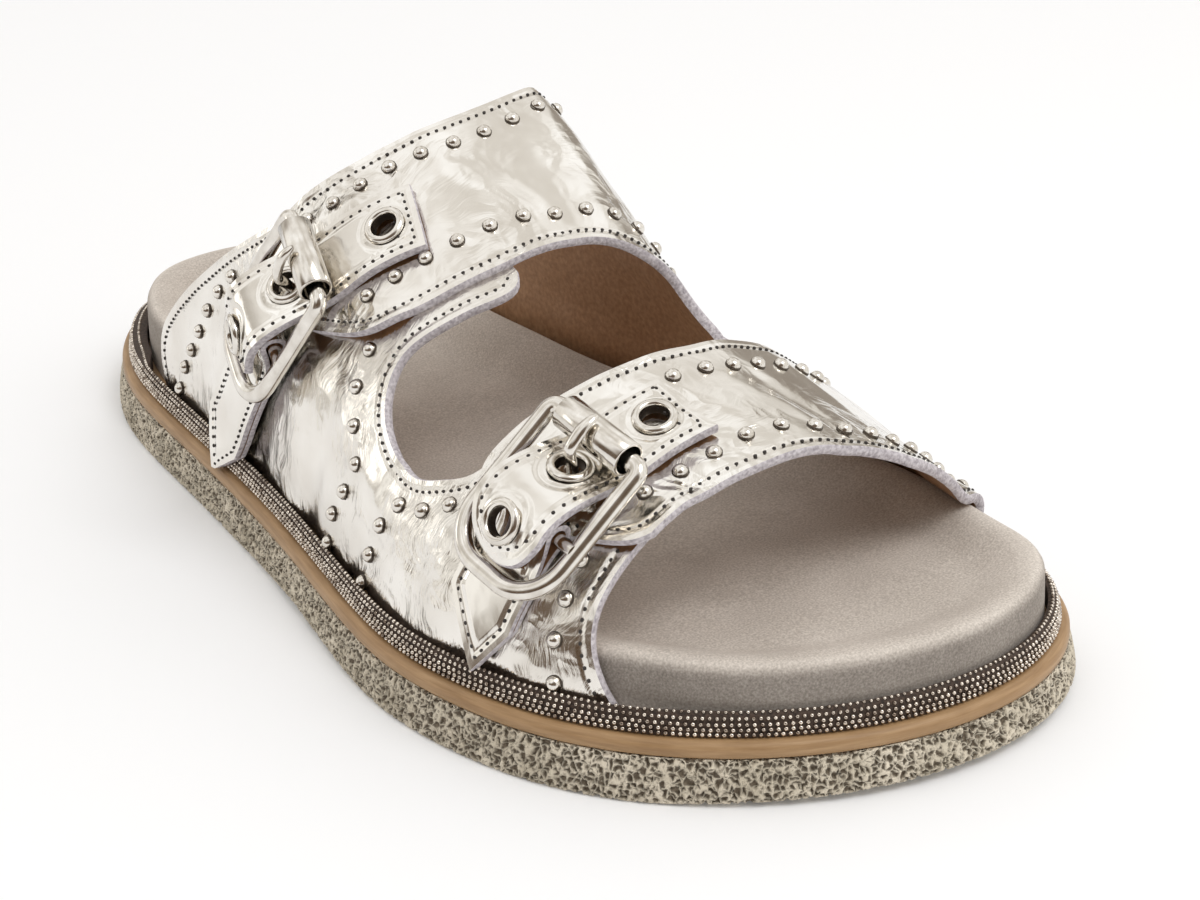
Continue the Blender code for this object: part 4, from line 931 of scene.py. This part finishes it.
STRAP_EDGES = (REAR_EDGE, BACK_TIP, FRONT_TIP, FRONT_EDGE, INNER_BASE)
PANEL_EDGES = (PANEL_REAR, PANEL_BASE, PANEL_FRONT, PANEL_FRONT_END, PANEL_CUTOUT, PANEL_BACK_END)
strap_loop, panel_loop = (np.concatenate([plan_path(rows, EDGE_STEP) for rows in edges])
                          for edges in (STRAP_EDGES, PANEL_EDGES))
straps = sheet("upper_straps", [strap_loop], LEATHER_STEP, strap_map, UPPER_WALL,
               [strap_foil, lining, cut_edge])
panel = sheet("upper_outer_panel", [panel_loop], LEATHER_STEP, panel_map, UPPER_WALL,
              [panel_foil, lining, cut_edge])
for piece in (straps, panel):
    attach(piece, "root")
    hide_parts("upper")

# Stitching: dark grey thread, machine sewn a short way inside every cut edge of the upper.
# Each stitch sits half sunk into its hole and is coloured near black, partly the thread's own dark grey and
# partly painted shade of its hole, so it shows as a row of dark dots.
STITCH_PITCH = 1.85
STITCH_LIFT = 0.02
STITCH_HALVES = (0.40, 0.30, 0.2)
PATH_STEP = 0.4
# Thread: dull and nearly black between the bright foil edges; the near black is partly painted shade of the
# stitch holes
thread, tree, shader = new_material("dark_thread_and_hole_shade", roughness=0.7)
shader.inputs["Base Color"].default_value = linear("#37322f")


def round_tree(name, segments, rings, material):
    """A repeat tree that sets a round of some segments and rings on every point."""
    sphere = {"Segments": segments, "Rings": rings, "Radius": 1.0}
    return repeat_tree(name, ("GeometryNodeMeshUVSphere", sphere), material)


stitch_tree = round_tree("stitch_set", 8, 5, thread)


def arc_plan(flat, back=False):
    """Plan points to true millimetres across the upper, or back again."""
    girth_here = np.interp(flat[:, 0], GRID_S, arc_girth)
    if back:
        return np.column_stack([flat[:, 0], (flat[:, 1] / girth_here + 0.5) * PLAN])
    return np.column_stack([flat[:, 0], (flat[:, 1] / PLAN - 0.5) * girth_here])


def spaced_row(path, pitch, room=0.0):
    """Points a pitch apart along a path of flat points, with room left at its ends."""
    run = run_along(path)
    length = run[-1] - 2 * room
    at = room + np.arange(int(length / pitch) + 1) * pitch + (length % pitch) / 2
    return np.column_stack([np.interp(at, run, path[:, 0]), np.interp(at, run, path[:, 1])])


def inset_path(path, inset):
    """A flat path moved to its left."""
    ahead = unit(np.gradient(path, axis=0))
    return path + np.column_stack([-ahead[:, 1], ahead[:, 0]]) * inset


def set_row(mapped, flat, lift):
    """A row on a sheet: spots in space, outward normals and the direction along the row."""
    spots = mapped(flat, -lift)
    across = mapped(flat + np.array([0.6, 0.0]), -lift) - spots
    along = mapped(flat + np.array([0.0, 0.6]), -lift) - spots
    out = unit(np.cross(across, along))
    deeper = mapped(flat, -lift + 0.5) - spots
    out *= np.where((out * deeper).sum(axis=1) > 0, -1.0, 1.0)[:, None]
    return spots, out, np.gradient(spots, axis=0)


stitch_rows = []
for mapped, loop, sewn_edges in ((strap_map, strap_loop, (REAR_EDGE, BACK_TIP, FRONT_TIP, FRONT_EDGE)),
                                 (panel_map, panel_loop, (PANEL_REAR, PANEL_FRONT, PANEL_CUTOUT))):
    inside = np.sign((loop[:, 0] * np.roll(loop[:, 1], -1) - np.roll(loop[:, 0], -1) * loop[:, 1]).sum())
    for rows in sewn_edges:
        path = inset_path(arc_plan(plan_path(rows, PATH_STEP)), inside * STITCH_INSET)
        flat = arc_plan(spaced_row(path, STITCH_PITCH, 0.8), back=True)
        stitch_rows.append(set_row(mapped, flat, STITCH_LIFT))
spots, out, ahead = (np.concatenate(part) for part in zip(*stitch_rows))
stitches = repeat_on("upper_stitches", spots, out, ahead, stitch_tree, *STITCH_HALVES)
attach(stitches, "root")

# Studs: small turned nickel domes pressed through the leather in rows inside the edges.
# Each is held by a split pin at the back, so only the dome and its thin collar show.
STUD_RADIUS = 1.42
STUD_PITCH = 7.0
STUD_HIGH = 1.25
STUD_LIFT = 0.15
COLLAR_RADIUS = STUD_RADIUS + 0.18
COLLAR_HIGH = 0.4
# Nickel: a bright warm mirror with a faint haze of handling
nickel, tree, shader = new_material("polished_nickel", roughness=0.13, metallic=1.0)
spot = add_node(tree, "ShaderNodeTexCoord").outputs["Object"]
haze = noise_of(tree, spot, 3.0 * MM, 3.0)
wear(tree, shader, colour_ramp(tree, haze, [(0.3, "#d3cdc4"), (0.7, "#ebe7e0")]))
tree.links.new(ranged(tree, haze, 0.0, 1.0, 0.08, 0.2), shader.inputs["Roughness"])
# Stud rows: path of station and arc share on a sheet
STUD_ROWS = [
    (strap_map, [(71, 0.975), (79, 0.92), (90, 0.858), (98, 0.81), (110, 0.735), (121, 0.645), (126, 0.54),
                 (125, 0.46), (119.5, 0.38), (113, 0.31), (105, 0.265)]),
    (strap_map, [(137, 0.28), (143, 0.36), (146, 0.43), (148.3, 0.5), (150.5, 0.58), (151.5, 0.67),
                 (153, 0.76), (158.5, 0.815), (168, 0.835), (179, 0.828), (190, 0.785), (196, 0.72),
                 (198, 0.62), (198.5, 0.52), (197.5, 0.43)]),
    (strap_map, [(214.5, 0.28), (216.5, 0.36), (217, 0.44), (219.5, 0.53), (221, 0.62), (220.5, 0.72),
                 (218.5, 0.82), (216.5, 0.90), (215.5, 0.97)]),
    (panel_map, [(91, 0.2), (83, 0.155), (76, 0.10), (69, 0.055), (65.5, 0.02)]),
    (panel_map, [(144, 0.26), (145, 0.215), (148, 0.178), (154, 0.145), (152, 0.10), (148.5, 0.06),
                 (147, 0.012)]),
    (panel_map, [(185, 0.178), (177.5, 0.147), (170, 0.132), (167.5, 0.095), (165, 0.05), (163, 0.01)]),
    (panel_map, [(213, 0.185), (214, 0.135), (215, 0.09), (217, 0.03)]),
]
stud_rows = []
for mapped, rows in STUD_ROWS:
    path = arc_plan(plan_path(rows, PATH_STEP))
    stud_rows.append(set_row(mapped, arc_plan(spaced_row(path, STUD_PITCH), back=True), STUD_LIFT))
spots, out, ahead = (np.concatenate(part) for part in zip(*stud_rows))
stud_tree = round_tree("stud_set", 16, 9, nickel)
studs = repeat_on("upper_studs", spots, out, ahead, stud_tree, STUD_RADIUS, STUD_RADIUS, STUD_HIGH)
# Collar: duller and darker than the dome, so it reads as a thin line round it; the darker colour is partly
# oxide and partly painted contact shadow
dull, tree, shader = new_material("nickel_oxide_and_painted_shade", roughness=0.45, metallic=1.0)
shader.inputs["Base Color"].default_value = linear("#5d554d")
collar_tree = round_tree("collar_set", 16, 5, dull)
collars = repeat_on("stud_collars", spots, out, ahead, collar_tree, COLLAR_RADIUS, COLLAR_RADIUS, COLLAR_HIGH)
for piece in (studs, collars):
    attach(piece, "root")

# Buckle seats: each buckle lies on the outer side, roller up, over the lap of its strap.
# Its tab of leather, the chape, runs down from the centre bar and is sewn to the outer panel.
ROLLER_HALF = 8.2
ROLLER_RADIUS = 3.2
WIRE_RADIUS = 1.3
FIT_GAP = 0.35
FRAME_HALF = 11.5
TOP_CORNER = 1.8
LOWER_CORNER = 8.5
BAR_AT = 17.6
BAR_LIFT = 5.1
ROLLER_LIFT = 8.3
LOWER_LIFT = 5.0
EYE_RADIUS = 2.75


class Seat:
    """One buckle's place: distances below its roller, to one side, and up from the upper."""

    def __init__(self, name, station, arc, down, lower_at, tip_at, head_at, end_at, eyelets_at):
        self.name = name
        self.at = (station, arc)
        self.tip_at, self.head_at, self.end_at, self.eyelets_at = tip_at, head_at, end_at, eyelets_at
        sideways = station + np.array([2.0, -2.0, 0.0, 0.0])
        upward = arc - 8 + np.array([0.0, 0.0, 2.0, -2.0])
        near = self.by_arc(sideways, upward, 0.0)
        steps = np.array([near[0] - near[1], near[2] - near[3]]) / 4
        metric = steps @ steps.T
        self.down = np.array(down) / math.sqrt(np.array(down) @ metric @ np.array(down))
        turned = metric @ self.down
        wide = np.array([-turned[1], turned[0]])
        self.wide = wide / math.sqrt(wide @ metric @ wide)
        self.top = self.on_side([0.0], [0.0], ROLLER_LIFT)[0]
        low = self.on_side([lower_at], [0.0], LOWER_LIFT)[0]
        self.span = np.linalg.norm(low - self.top)
        self.axis_l = (low - self.top) / self.span
        ends = self.on_side([11.0, 11.0], [-9.0, 9.0], 0.0)
        axis_w = ends[1] - ends[0]
        axis_w = axis_w - self.axis_l * (axis_w @ self.axis_l)
        self.axis_w = axis_w / np.linalg.norm(axis_w)
        self.axis_h = np.cross(self.axis_l, self.axis_w)
        if self.axis_h @ (self.top - self.on_side([0.0], [0.0], 0.0)[0]) < 0:
            self.axis_h = -self.axis_h
        under = self.on_side([15.0], [0.0], 0.0)[0]
        self.bar_rise = BAR_LIFT - (self.top - under) @ self.axis_h
        self.bar = self.top + self.axis_l * BAR_AT + self.axis_h * self.bar_rise

    def by_arc(self, station, arc, lift):
        """Point at a station and a height along the arc, lifted off the upper."""
        share = arc / np.interp(station, GRID_S, arc_girth)
        return on_upper(station, share, np.broadcast_to(lift, station.shape))

    def on_side(self, below, aside, lift):
        """Point at distances below the roller and to one side, lifted off the upper."""
        below = np.asarray(below, float)
        aside = np.asarray(aside, float)
        station = self.at[0] + below * self.down[0] + aside * self.wide[0]
        return self.by_arc(station, self.at[1] + below * self.down[1] + aside * self.wide[1], lift)


# Each seat: roller station and arc height, downward direction, then distances below the roller to
# the lower bar, the chape's tip, the billet's head and end, and the eyelets
SEATS = [
    Seat("back", 125.0, 50.2, (-0.545, -0.839), 28.7, 57.5, -19.8, 25.8, (-13.8, 6.5, 20.0)),
    Seat("front", 204.5, 45.3, (-0.10, -0.995), 26.4, 41.0, -16.8, 24.0, (-10.6, 6.0, 18.8)),
]

# Chapes: one leather tab folded double round the centre bar, slotted for the prong.
# The two layers are sewn together along the sides and to the V-pointed tip over the band.
CHAPE_HALF = 7.5
CHAPE_THICK = 2.4
CHAPE_LAYER = 1.1
CHAPE_POINT = 9.5
CHAPE_LANES = 19
TAB_STEP = 1.0
TAB_BULGE = 0.15
TIP_ASIDE = 3.0
SLOT_HALF = 2.1
SLOT_FROM = 0.6
SLOT_TO = 11.0
SEWN_IN = 1.7
# Under face along the tab: distance below the roller, lift; then over the band: arc height, lift
CHAPE_LIFT = np.array([[19.0, 1.95], [20.5, 1.85], [25.0, 0.45], [34.0, 0.40], [60.0, 0.40]])
CHAPE_BASE = np.array([[0.0, 2.9], [2.5, 2.5], [5.5, 1.8], [8.5, 0.9], [12.0, 0.45], [30.0, 0.4]])
tab_stitches = []
tab_leathers = [tab_foil, lining, cut_edge]
for seat in SEATS:
    columns = np.linspace(-CHAPE_HALF - 1.0, CHAPE_HALF + 1.0, CHAPE_LANES)
    plate = np.linspace(seat.tip_at + 1.0, 21.5, 16)
    level = np.maximum(look_up(CHAPE_LIFT, plate), look_up(CHAPE_BASE, seat.at[1] + plate * seat.down[1]))
    faces_in = []
    for top_lift, eye, under_lift in ((CHAPE_THICK, EYE_RADIUS, 0.0),
                                      (CHAPE_THICK - CHAPE_LAYER, EYE_RADIUS - CHAPE_LAYER, CHAPE_LAYER)):
        upper_leaf, under_leaf = ([seat.on_side(np.full(CHAPE_LANES, below), columns, lift + leaf)
                                   for below, lift in zip(plate, level)] for leaf in (top_lift, under_lift))
        grid = upper_leaf
        for angle in np.radians(np.linspace(40.0, 290.0, 11)):
            around = seat.bar + eye * (math.cos(angle) * seat.axis_l + math.sin(angle) * seat.axis_h)
            grid.append(around + columns[:, None] * seat.axis_w)
        faces_in.append(np.array(grid + under_leaf[::-1]))
    middle = faces_in[0][:, CHAPE_LANES // 2]
    run = run_along(middle) - 1.0

    def tab_map(flat, depth, run=run, faces_in=faces_in, columns=columns):
        """The folded tab in space from the run along it and the way across."""
        grid = faces_in[0] + (faces_in[1] - faces_in[0]) * depth / CHAPE_LAYER
        lanes = spline(run, grid.reshape(len(run), -1), flat[:, 0]).reshape(len(flat), CHAPE_LANES, 3)
        across = np.clip((flat[:, 1] - columns[0]) / (columns[1] - columns[0]), 0.0, CHAPE_LANES - 1.001)
        k = across.astype(int)
        share = (across - k)[:, None]
        rows = np.arange(len(flat))
        return lanes[rows, k] * (1 - share) + lanes[rows, k + 1] * share

    length = run[-1] - 1.0
    point = TIP_ASIDE * np.sign(seat.wide[0])
    corners = [(0.0, point), (CHAPE_POINT, -CHAPE_HALF), (length - CHAPE_POINT, -CHAPE_HALF), (length, point),
               (length - CHAPE_POINT, CHAPE_HALF), (CHAPE_POINT, CHAPE_HALF), (0.0, point)]
    loop = np.concatenate([smooth_path([a, b], 0.9) for a, b in zip(corners, corners[1:])])
    fold_at = run[len(plate) - 1]
    slot_from = fold_at + SLOT_FROM
    slot_to = fold_at + SLOT_TO
    slot_corners = [(slot_from, -SLOT_HALF), (slot_to, -SLOT_HALF), (slot_to, SLOT_HALF),
                    (slot_from, SLOT_HALF), (slot_from, -SLOT_HALF)]
    slot_loop = np.concatenate([smooth_path([a, b], 0.8) for a, b in zip(slot_corners, slot_corners[1:])])
    chape = sheet(f"chape_{seat.name}", [loop, slot_loop], TAB_STEP, tab_map, CHAPE_LAYER, tab_leathers,
                  bulge=TAB_BULGE)
    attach(chape, "root")
    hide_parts(f"chape_{seat.name}")
    side = CHAPE_HALF - SEWN_IN
    sewn = np.array([(fold_at - 2.0, -side), (CHAPE_POINT + 0.4, -side), (2.4, point),
                     (CHAPE_POINT + 0.4, side), (fold_at - 2.0, side)])
    tab_stitches.append(set_row(tab_map, spaced_row(sewn, STITCH_PITCH), STITCH_LIFT))

# Frames: bright nickel wire bent to a loop with round lower corners, its centre bar let in across.
# The frame pivots on the chape's fold; the roller turns on its top bar.
WIRE_WIDE = WIRE_RADIUS * 1.35
WIRE_HIGH = WIRE_RADIUS * 1.15
BAR_RADIUS = WIRE_RADIUS * 0.96


def wire(path, half_wide, half_high, segments, closed, up):
    """A wire along a path in one plane; up is across that plane. Arrays of half sizes taper it."""
    path = np.asarray(path, float)
    half_wide = np.broadcast_to(half_wide, (len(path),))
    half_high = np.broadcast_to(half_high, (len(path),))
    ahead = np.roll(path, -1, axis=0) - np.roll(path, 1, axis=0)
    if not closed:
        ahead[0] = path[1] - path[0]
        ahead[-1] = path[-1] - path[-2]
    side = unit(np.cross(unit(ahead), up))
    turns = np.arange(segments) * 2 * math.pi / segments
    rings = []
    for p, s, wide, high in zip(path, side, half_wide, half_high):
        rings.append(p + wide * np.cos(turns)[:, None] * s + high * np.sin(turns)[:, None] * up)
    points, faces = loft(rings, closed=True)
    if not closed:
        faces = faces[:(len(rings) - 1) * segments]
        faces += [list(range(segments)), list(range((len(rings) - 1) * segments, len(rings) * segments))]
    return points, faces


def joined(*shapes):
    """Points and faces of several shapes as one mesh."""
    points = np.concatenate([shape[0] for shape in shapes])
    faces = []
    first = 0
    for shape in shapes:
        faces += [[first + i for i in face] for face in shape[1]]
        first += len(shape[0])
    return points, faces


for seat in SEATS:
    loop = []
    for first, corner in enumerate((LOWER_CORNER, TOP_CORNER, TOP_CORNER, LOWER_CORNER)):
        cl = seat.span - corner if first in (0, 3) else corner
        cw = FRAME_HALF - corner if first in (0, 1) else corner - FRAME_HALF
        for angle in np.linspace(0.0, math.pi / 2, 14) + first * math.pi / 2:
            loop.append((cl + corner * math.cos(angle), cw + corner * math.sin(angle)))
    path = np.array([seat.top + seat.axis_l * a + seat.axis_w * b for a, b in loop])
    ends = [seat.bar - seat.axis_w * FRAME_HALF, seat.bar + seat.axis_w * FRAME_HALF]
    points, faces = joined(wire(path, WIRE_WIDE, WIRE_HIGH, 18, True, seat.axis_h),
                           wire(ends, BAR_RADIUS, BAR_RADIUS, 16, False, seat.axis_h))
    buckle = new_piece(f"frame_{seat.name}", points, faces, [nickel], sharp=50.0)
    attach(buckle, "root")
    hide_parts(f"frame_{seat.name}")

# Rollers: nickel sheet rolled to a thin tube that spins on the frame's top bar.
# The tube is open, so its ends show a bright rim round a dark hollow.
ROLLER_SHEET = 0.5
ROLLER_BREAK = 0.15


def lathe(profile, segments, centre, axis, start):
    """A ring from a closed profile of radius and height, turned about an axis."""
    side = np.cross(axis, start)
    turns = np.arange(segments) * 2 * math.pi / segments
    rings = []
    for radius, height in profile:
        flat = np.cos(turns)[:, None] * start + np.sin(turns)[:, None] * side
        rings.append(centre + axis * height + flat * radius)
    return loft(rings, closed=True)


for seat in SEATS:
    inner = ROLLER_RADIUS - ROLLER_SHEET
    broken = ROLLER_RADIUS - ROLLER_BREAK
    tube = [(inner, -ROLLER_HALF), (broken, -ROLLER_HALF), (ROLLER_RADIUS, -ROLLER_HALF + ROLLER_BREAK),
            (ROLLER_RADIUS, 0.0), (ROLLER_RADIUS, ROLLER_HALF - ROLLER_BREAK), (broken, ROLLER_HALF),
            (inner, ROLLER_HALF), (inner, 0.0)]
    points, faces = lathe(tube, 40, seat.top, seat.axis_w, seat.axis_h)
    roller = new_piece(f"roller_{seat.name}", points, faces, [nickel], sharp=60.0)
    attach(roller, "root")
    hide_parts(f"roller_{seat.name}")

# Prongs: nickel tongues curled round the centre bar at one end.
# Each rises through the middle eyelet of its billet and rests its tapered tip on the roller.
BILLET_THICK = 1.8
PRONG_STEPS = 48
EYE_HALF = 1.5
# Billet under face: distance below the roller, lift above the upper
BILLET_LIFT = np.array([[-24.0, 1.85], [-6.0, 1.85], [0.5, 1.9], [2.5, 2.5], [6.5, 4.5], [10.5, 6.7],
                        [13.5, 8.1], [16.5, 8.6], [20.0, 7.4], [24.0, 5.2], [28.0, 3.2]])
# Prong path, each from its own mark: along the frame, up from it
PRONG_FROM_BAR = [(-2.2, -0.6), (-4.6, -1.6)]
PRONG_FROM_HOLE = [(2.9, -1.0), (1.2, -1.1), (0.0, 0.1), (-0.9, 1.7), (-1.7, 3.4)]
PRONG_FROM_ROLLER = [(4.5, 3.75), (2.3, 4.3), (0.0, 4.5), (-2.6, 3.75)]
for seat in SEATS:
    bore = WIRE_RADIUS + FIT_GAP
    eye = [(bore, -EYE_HALF), (EYE_RADIUS - 0.2, -EYE_HALF), (EYE_RADIUS, -1.2), (EYE_RADIUS, 1.2),
           (EYE_RADIUS - 0.2, EYE_HALF), (bore, EYE_HALF)]
    hole_at = seat.eyelets_at[1]
    hole_lift = spline(BILLET_LIFT[:, 0], BILLET_LIFT[:, 1], np.array([hole_at])) + BILLET_THICK / 2
    hole = seat.on_side([hole_at], [0.0], hole_lift)[0] - seat.top
    marks = [np.array([BAR_AT, seat.bar_rise]) + p for p in PRONG_FROM_BAR]
    marks += [np.array([hole @ seat.axis_l, hole @ seat.axis_h]) + p for p in PRONG_FROM_HOLE]
    marks += [np.array(p) for p in PRONG_FROM_ROLLER]
    tongue = spline(np.arange(len(marks)), np.array(marks), np.linspace(0, len(marks) - 1, PRONG_STEPS))
    path = np.array([seat.top + seat.axis_l * a + seat.axis_h * b for a, b in tongue])
    taper = np.interp(np.arange(PRONG_STEPS), [0, 40, 45, 47], [1.0, 0.95, 0.7, 0.35])
    points, faces = joined(lathe(eye, 28, seat.bar, seat.axis_w, seat.axis_h),
                           wire(path, 0.95 * taper, 1.35 * taper, 14, False, seat.axis_w))
    prong = new_piece(f"prong_{seat.name}", points, faces, [nickel], sharp=50.0)
    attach(prong, "root")
    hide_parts(f"prong_{seat.name}")

# Billets: narrow foil straps sewn on the wide straps at their squared heads, with three eyelet holes.
# Each runs under the roller and over the centre bar, and its rounded end lies inside the frame.
BILLET_HALF = 8.0
BILLET_ROUND = 6.0
EYELET_HOLE = 2.5
EYELET_WALL = 0.5
for seat in SEATS:
    def billet_map(flat, depth, seat=seat):
        """The billet in space from the distance below the roller and the way across."""
        lift = spline(BILLET_LIFT[:, 0], BILLET_LIFT[:, 1], flat[:, 0])
        soft_dents = np.array([0.16 * noise.noise(Vector((u / 7, v / 7, 12.0))) for u, v in flat])
        return seat.on_side(flat[:, 0], flat[:, 1], lift + BILLET_THICK + soft_dents - depth)

    head = seat.head_at
    end = seat.end_at
    straight = end - BILLET_ROUND
    rows = [[(head, -BILLET_HALF), (straight, -BILLET_HALF)],
            [(straight, -BILLET_HALF), (end - 2.0, 2.2 - BILLET_HALF), (end, 0.0),
             (end - 2.0, BILLET_HALF - 2.2), (straight, BILLET_HALF)],
            [(straight, BILLET_HALF), (head, BILLET_HALF)],
            [(head, BILLET_HALF), (head, -BILLET_HALF)]]
    loops = [np.concatenate([smooth_path(row, 0.9) for row in rows])]
    turns = np.arange(24) * 2 * math.pi / 24
    cut = EYELET_HOLE + EYELET_WALL
    loops += [np.column_stack([at + cut * np.cos(turns), cut * np.sin(turns)]) for at in seat.eyelets_at]
    billet = sheet(f"billet_{seat.name}", loops, TAB_STEP, billet_map, BILLET_THICK, tab_leathers,
                   bulge=TAB_BULGE)
    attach(billet, "root")
    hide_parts(f"billet_{seat.name}")
    side = BILLET_HALF - 1.6
    round_row = [(head + 1.6, -side), (end - 6.2, -side), (end - 3.2, 2.2 - side), (end - 1.7, 0.0),
                 (end - 3.2, side - 2.2), (end - 6.2, side), (head + 1.6, side), (head + 1.6, -side)]
    head_row = [(head + 4.2, -side + 2.2), (head + 4.2, side - 2.2)]
    for sewn in (round_row, head_row):
        tab_stitches.append(set_row(billet_map, spaced_row(np.array(sewn), STITCH_PITCH), STITCH_LIFT))
spots, out, ahead = (np.concatenate(part) for part in zip(*tab_stitches))
stitches = repeat_on("tab_stitches", spots, out, ahead, stitch_tree, *STITCH_HALVES)
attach(stitches, "root")

# Eyelets: nickel rims set in the billet holes, rolled over at the front to a soft ring.
# The barrel inside the hole takes the collars' duller, darker nickel as painted shade inside the hole.
EYELET_SEGMENTS = 32
for seat in SEATS:
    for number, at in enumerate(seat.eyelets_at, 1):
        flat = np.array([[at, 0.0], [at + 2.5, 0.0], [at - 2.5, 0.0], [at, 3.0], [at, -3.0]])
        lift = spline(BILLET_LIFT[:, 0], BILLET_LIFT[:, 1], flat[:, 0]) + BILLET_THICK
        spots = seat.on_side(flat[:, 0], flat[:, 1], lift)
        step_w = spots[3] - spots[4]
        axis = np.cross(spots[1] - spots[2], step_w)
        axis /= np.linalg.norm(axis)
        if axis @ seat.axis_h < 0:
            axis = -axis
        start = step_w - axis * (step_w @ axis)
        start /= np.linalg.norm(start)
        rim = [(EYELET_HOLE, -1.4), (EYELET_HOLE + 0.4, -1.4), (EYELET_HOLE + 0.4, 0.2), (4.1, 0.2),
               (4.15, 0.45), (3.95, 0.8), (3.5, 1.1), (3.1, 1.15), (2.75, 0.95), (EYELET_HOLE + 0.02, 0.5)]
        points, faces = lathe(rim, EYELET_SEGMENTS, spots[0], axis, start)
        barrel = [0] * (len(faces) - EYELET_SEGMENTS) + [1] * EYELET_SEGMENTS
        eyelet = new_piece(f"eyelet_{seat.name}_{number}", points, faces, [nickel, dull], barrel, sharp=60.0)
        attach(eyelet, "root")
        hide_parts(f"eyelet_{seat.name}_{number}")

# Floor: a seamless pale paper sheet that takes the soft shadow.
# It glows very slightly, so that it stays as white as the paper round the real shoe.
FLOOR_HALF = 4.0
floor_mesh = bpy.data.meshes.new("floor")
corners = [(FLOOR_HALF * x, FLOOR_HALF * y, 0) for x, y in ((-1, -1), (1, -1), (1, 1), (-1, 1))]
floor_mesh.from_pydata(corners, [], [[0, 1, 2, 3]])
floor = bpy.data.objects.new("floor", floor_mesh)
bpy.context.scene.collection.objects.link(floor)
paper, tree, shader = new_material("pale_paper", roughness=0.8, Specular_IOR_Level=0.1)
shader.inputs["Base Color"].default_value = linear("#f2f3f5")
shader.inputs["Emission Color"].default_value = (1.0, 1.0, 1.0, 1.0)
shader.inputs["Emission Strength"].default_value = 0.07
floor_mesh.materials.append(paper)

# Light: a bright soft studio. The room that the foil mirrors has pale, uneven walls, a paler ceiling,
# and two dark warm parts on the viewer's side, one of them to the left. Two soft boxes give the
# creases their sparkle.
TOWARD_LEFT = (-0.966, -0.259, 0.0)
TOWARD_VIEWER = (-0.595, -0.701, 0.394)
ROOM_STRENGTH = 1.15
world = bpy.data.worlds.new("studio")
world.use_nodes = True
bpy.context.scene.world = world
tree = world.node_tree
way = add_node(tree, "ShaderNodeTexCoord").outputs["Generated"]
tall = add_node(tree, "ShaderNodeMapping", {"Vector": way, "Scale": (1.0, 1.0, 0.45)}).outputs["Vector"]
walls = add_node(tree, "ShaderNodeTexNoise", {"Vector": tall, "Scale": 3.2, "Detail": 1.5}).outputs["Fac"]
wall_tone = colour_ramp(tree, walls, [(0.36, "#958d84"), (0.5, "#d6d2cb"), (0.62, "#f7f5f1")])
ceiling_tone = colour_ramp(tree, walls, [(0.36, "#dad6d0"), (0.5, "#f2f0ed"), (0.62, "#ffffff")])
rise = add_node(tree, "ShaderNodeSeparateXYZ", {0: way}).outputs["Z"]
near_left, near_viewer = (
    add_node(tree, "ShaderNodeVectorMath", {0: way, 1: toward}, operation="DOT_PRODUCT").outputs["Value"]
    for toward in (TOWARD_LEFT, TOWARD_VIEWER))
low_down = ranged(tree, rise, 0.55, 0.33, 0.0, 0.92)
dark_left = maths(tree, "MULTIPLY", ranged(tree, near_left, 0.74, 0.88), low_down)
dark_viewer = ranged(tree, near_viewer, 0.82, 0.93, 0.0, 0.9)
dark = maths(tree, "MAXIMUM", dark_left, dark_viewer)
bright = mixed(tree, ranged(tree, rise, 0.35, 0.6), wall_tone, ceiling_tone)
room = mixed(tree, dark, bright, linear("#574433"))
tree.links.new(room, tree.nodes["Background"].inputs["Color"])
tree.nodes["Background"].inputs["Strength"].default_value = ROOM_STRENGTH
for name, spot, aim, size, power in (("key_box", (0.15, -0.65, 1.15), (0, 0, 0.03), 0.6, 4.5),
                                     ("rear_strip", (-0.75, 1.0, 0.32), (0, 0, 0.03), 0.3, 0.3)):
    light = bpy.data.lights.new(name, "AREA")
    light.size = size
    light.energy = power
    lamp = bpy.data.objects.new(name, light)
    lamp.location = spot
    lamp.rotation_euler = (Vector(aim) - Vector(spot)).to_track_quat("-Z", "Y").to_euler()
    bpy.context.scene.collection.objects.link(lamp)

# Camera: the photograph's own place and direction, closer in on the one shoe.
# The frame is shifted to a middle at this place in a 1200 by 900 picture, so the view keeps its angle.
CAMERA_SPOT = (-255.48, 509.89, 226.19)
CAMERA_AHEAD = (0.5950, 0.7008, -0.3936)
PICTURE_WIDE = 1200
PICTURE_HIGH = 900
FRAME_MIDDLE = (497, 505)
LENS = 52.5
CLOSER = 1.40
camera_data = bpy.data.cameras.new("camera")
camera_data.sensor_width = 36.0
camera_data.lens = LENS * CLOSER
camera_data.shift_x = (FRAME_MIDDLE[0] - PICTURE_WIDE / 2) / PICTURE_WIDE * CLOSER
camera_data.shift_y = -(FRAME_MIDDLE[1] - PICTURE_HIGH / 2) / PICTURE_WIDE * CLOSER
camera = bpy.data.objects.new("camera", camera_data)
camera.location = place(np.array(CAMERA_SPOT)).tolist()
camera.rotation_euler = Vector(CAMERA_AHEAD).to_track_quat("-Z", "Y").to_euler()
bpy.context.scene.collection.objects.link(camera)
bpy.context.scene.camera = camera
bpy.context.scene.view_settings.view_transform = "Standard"
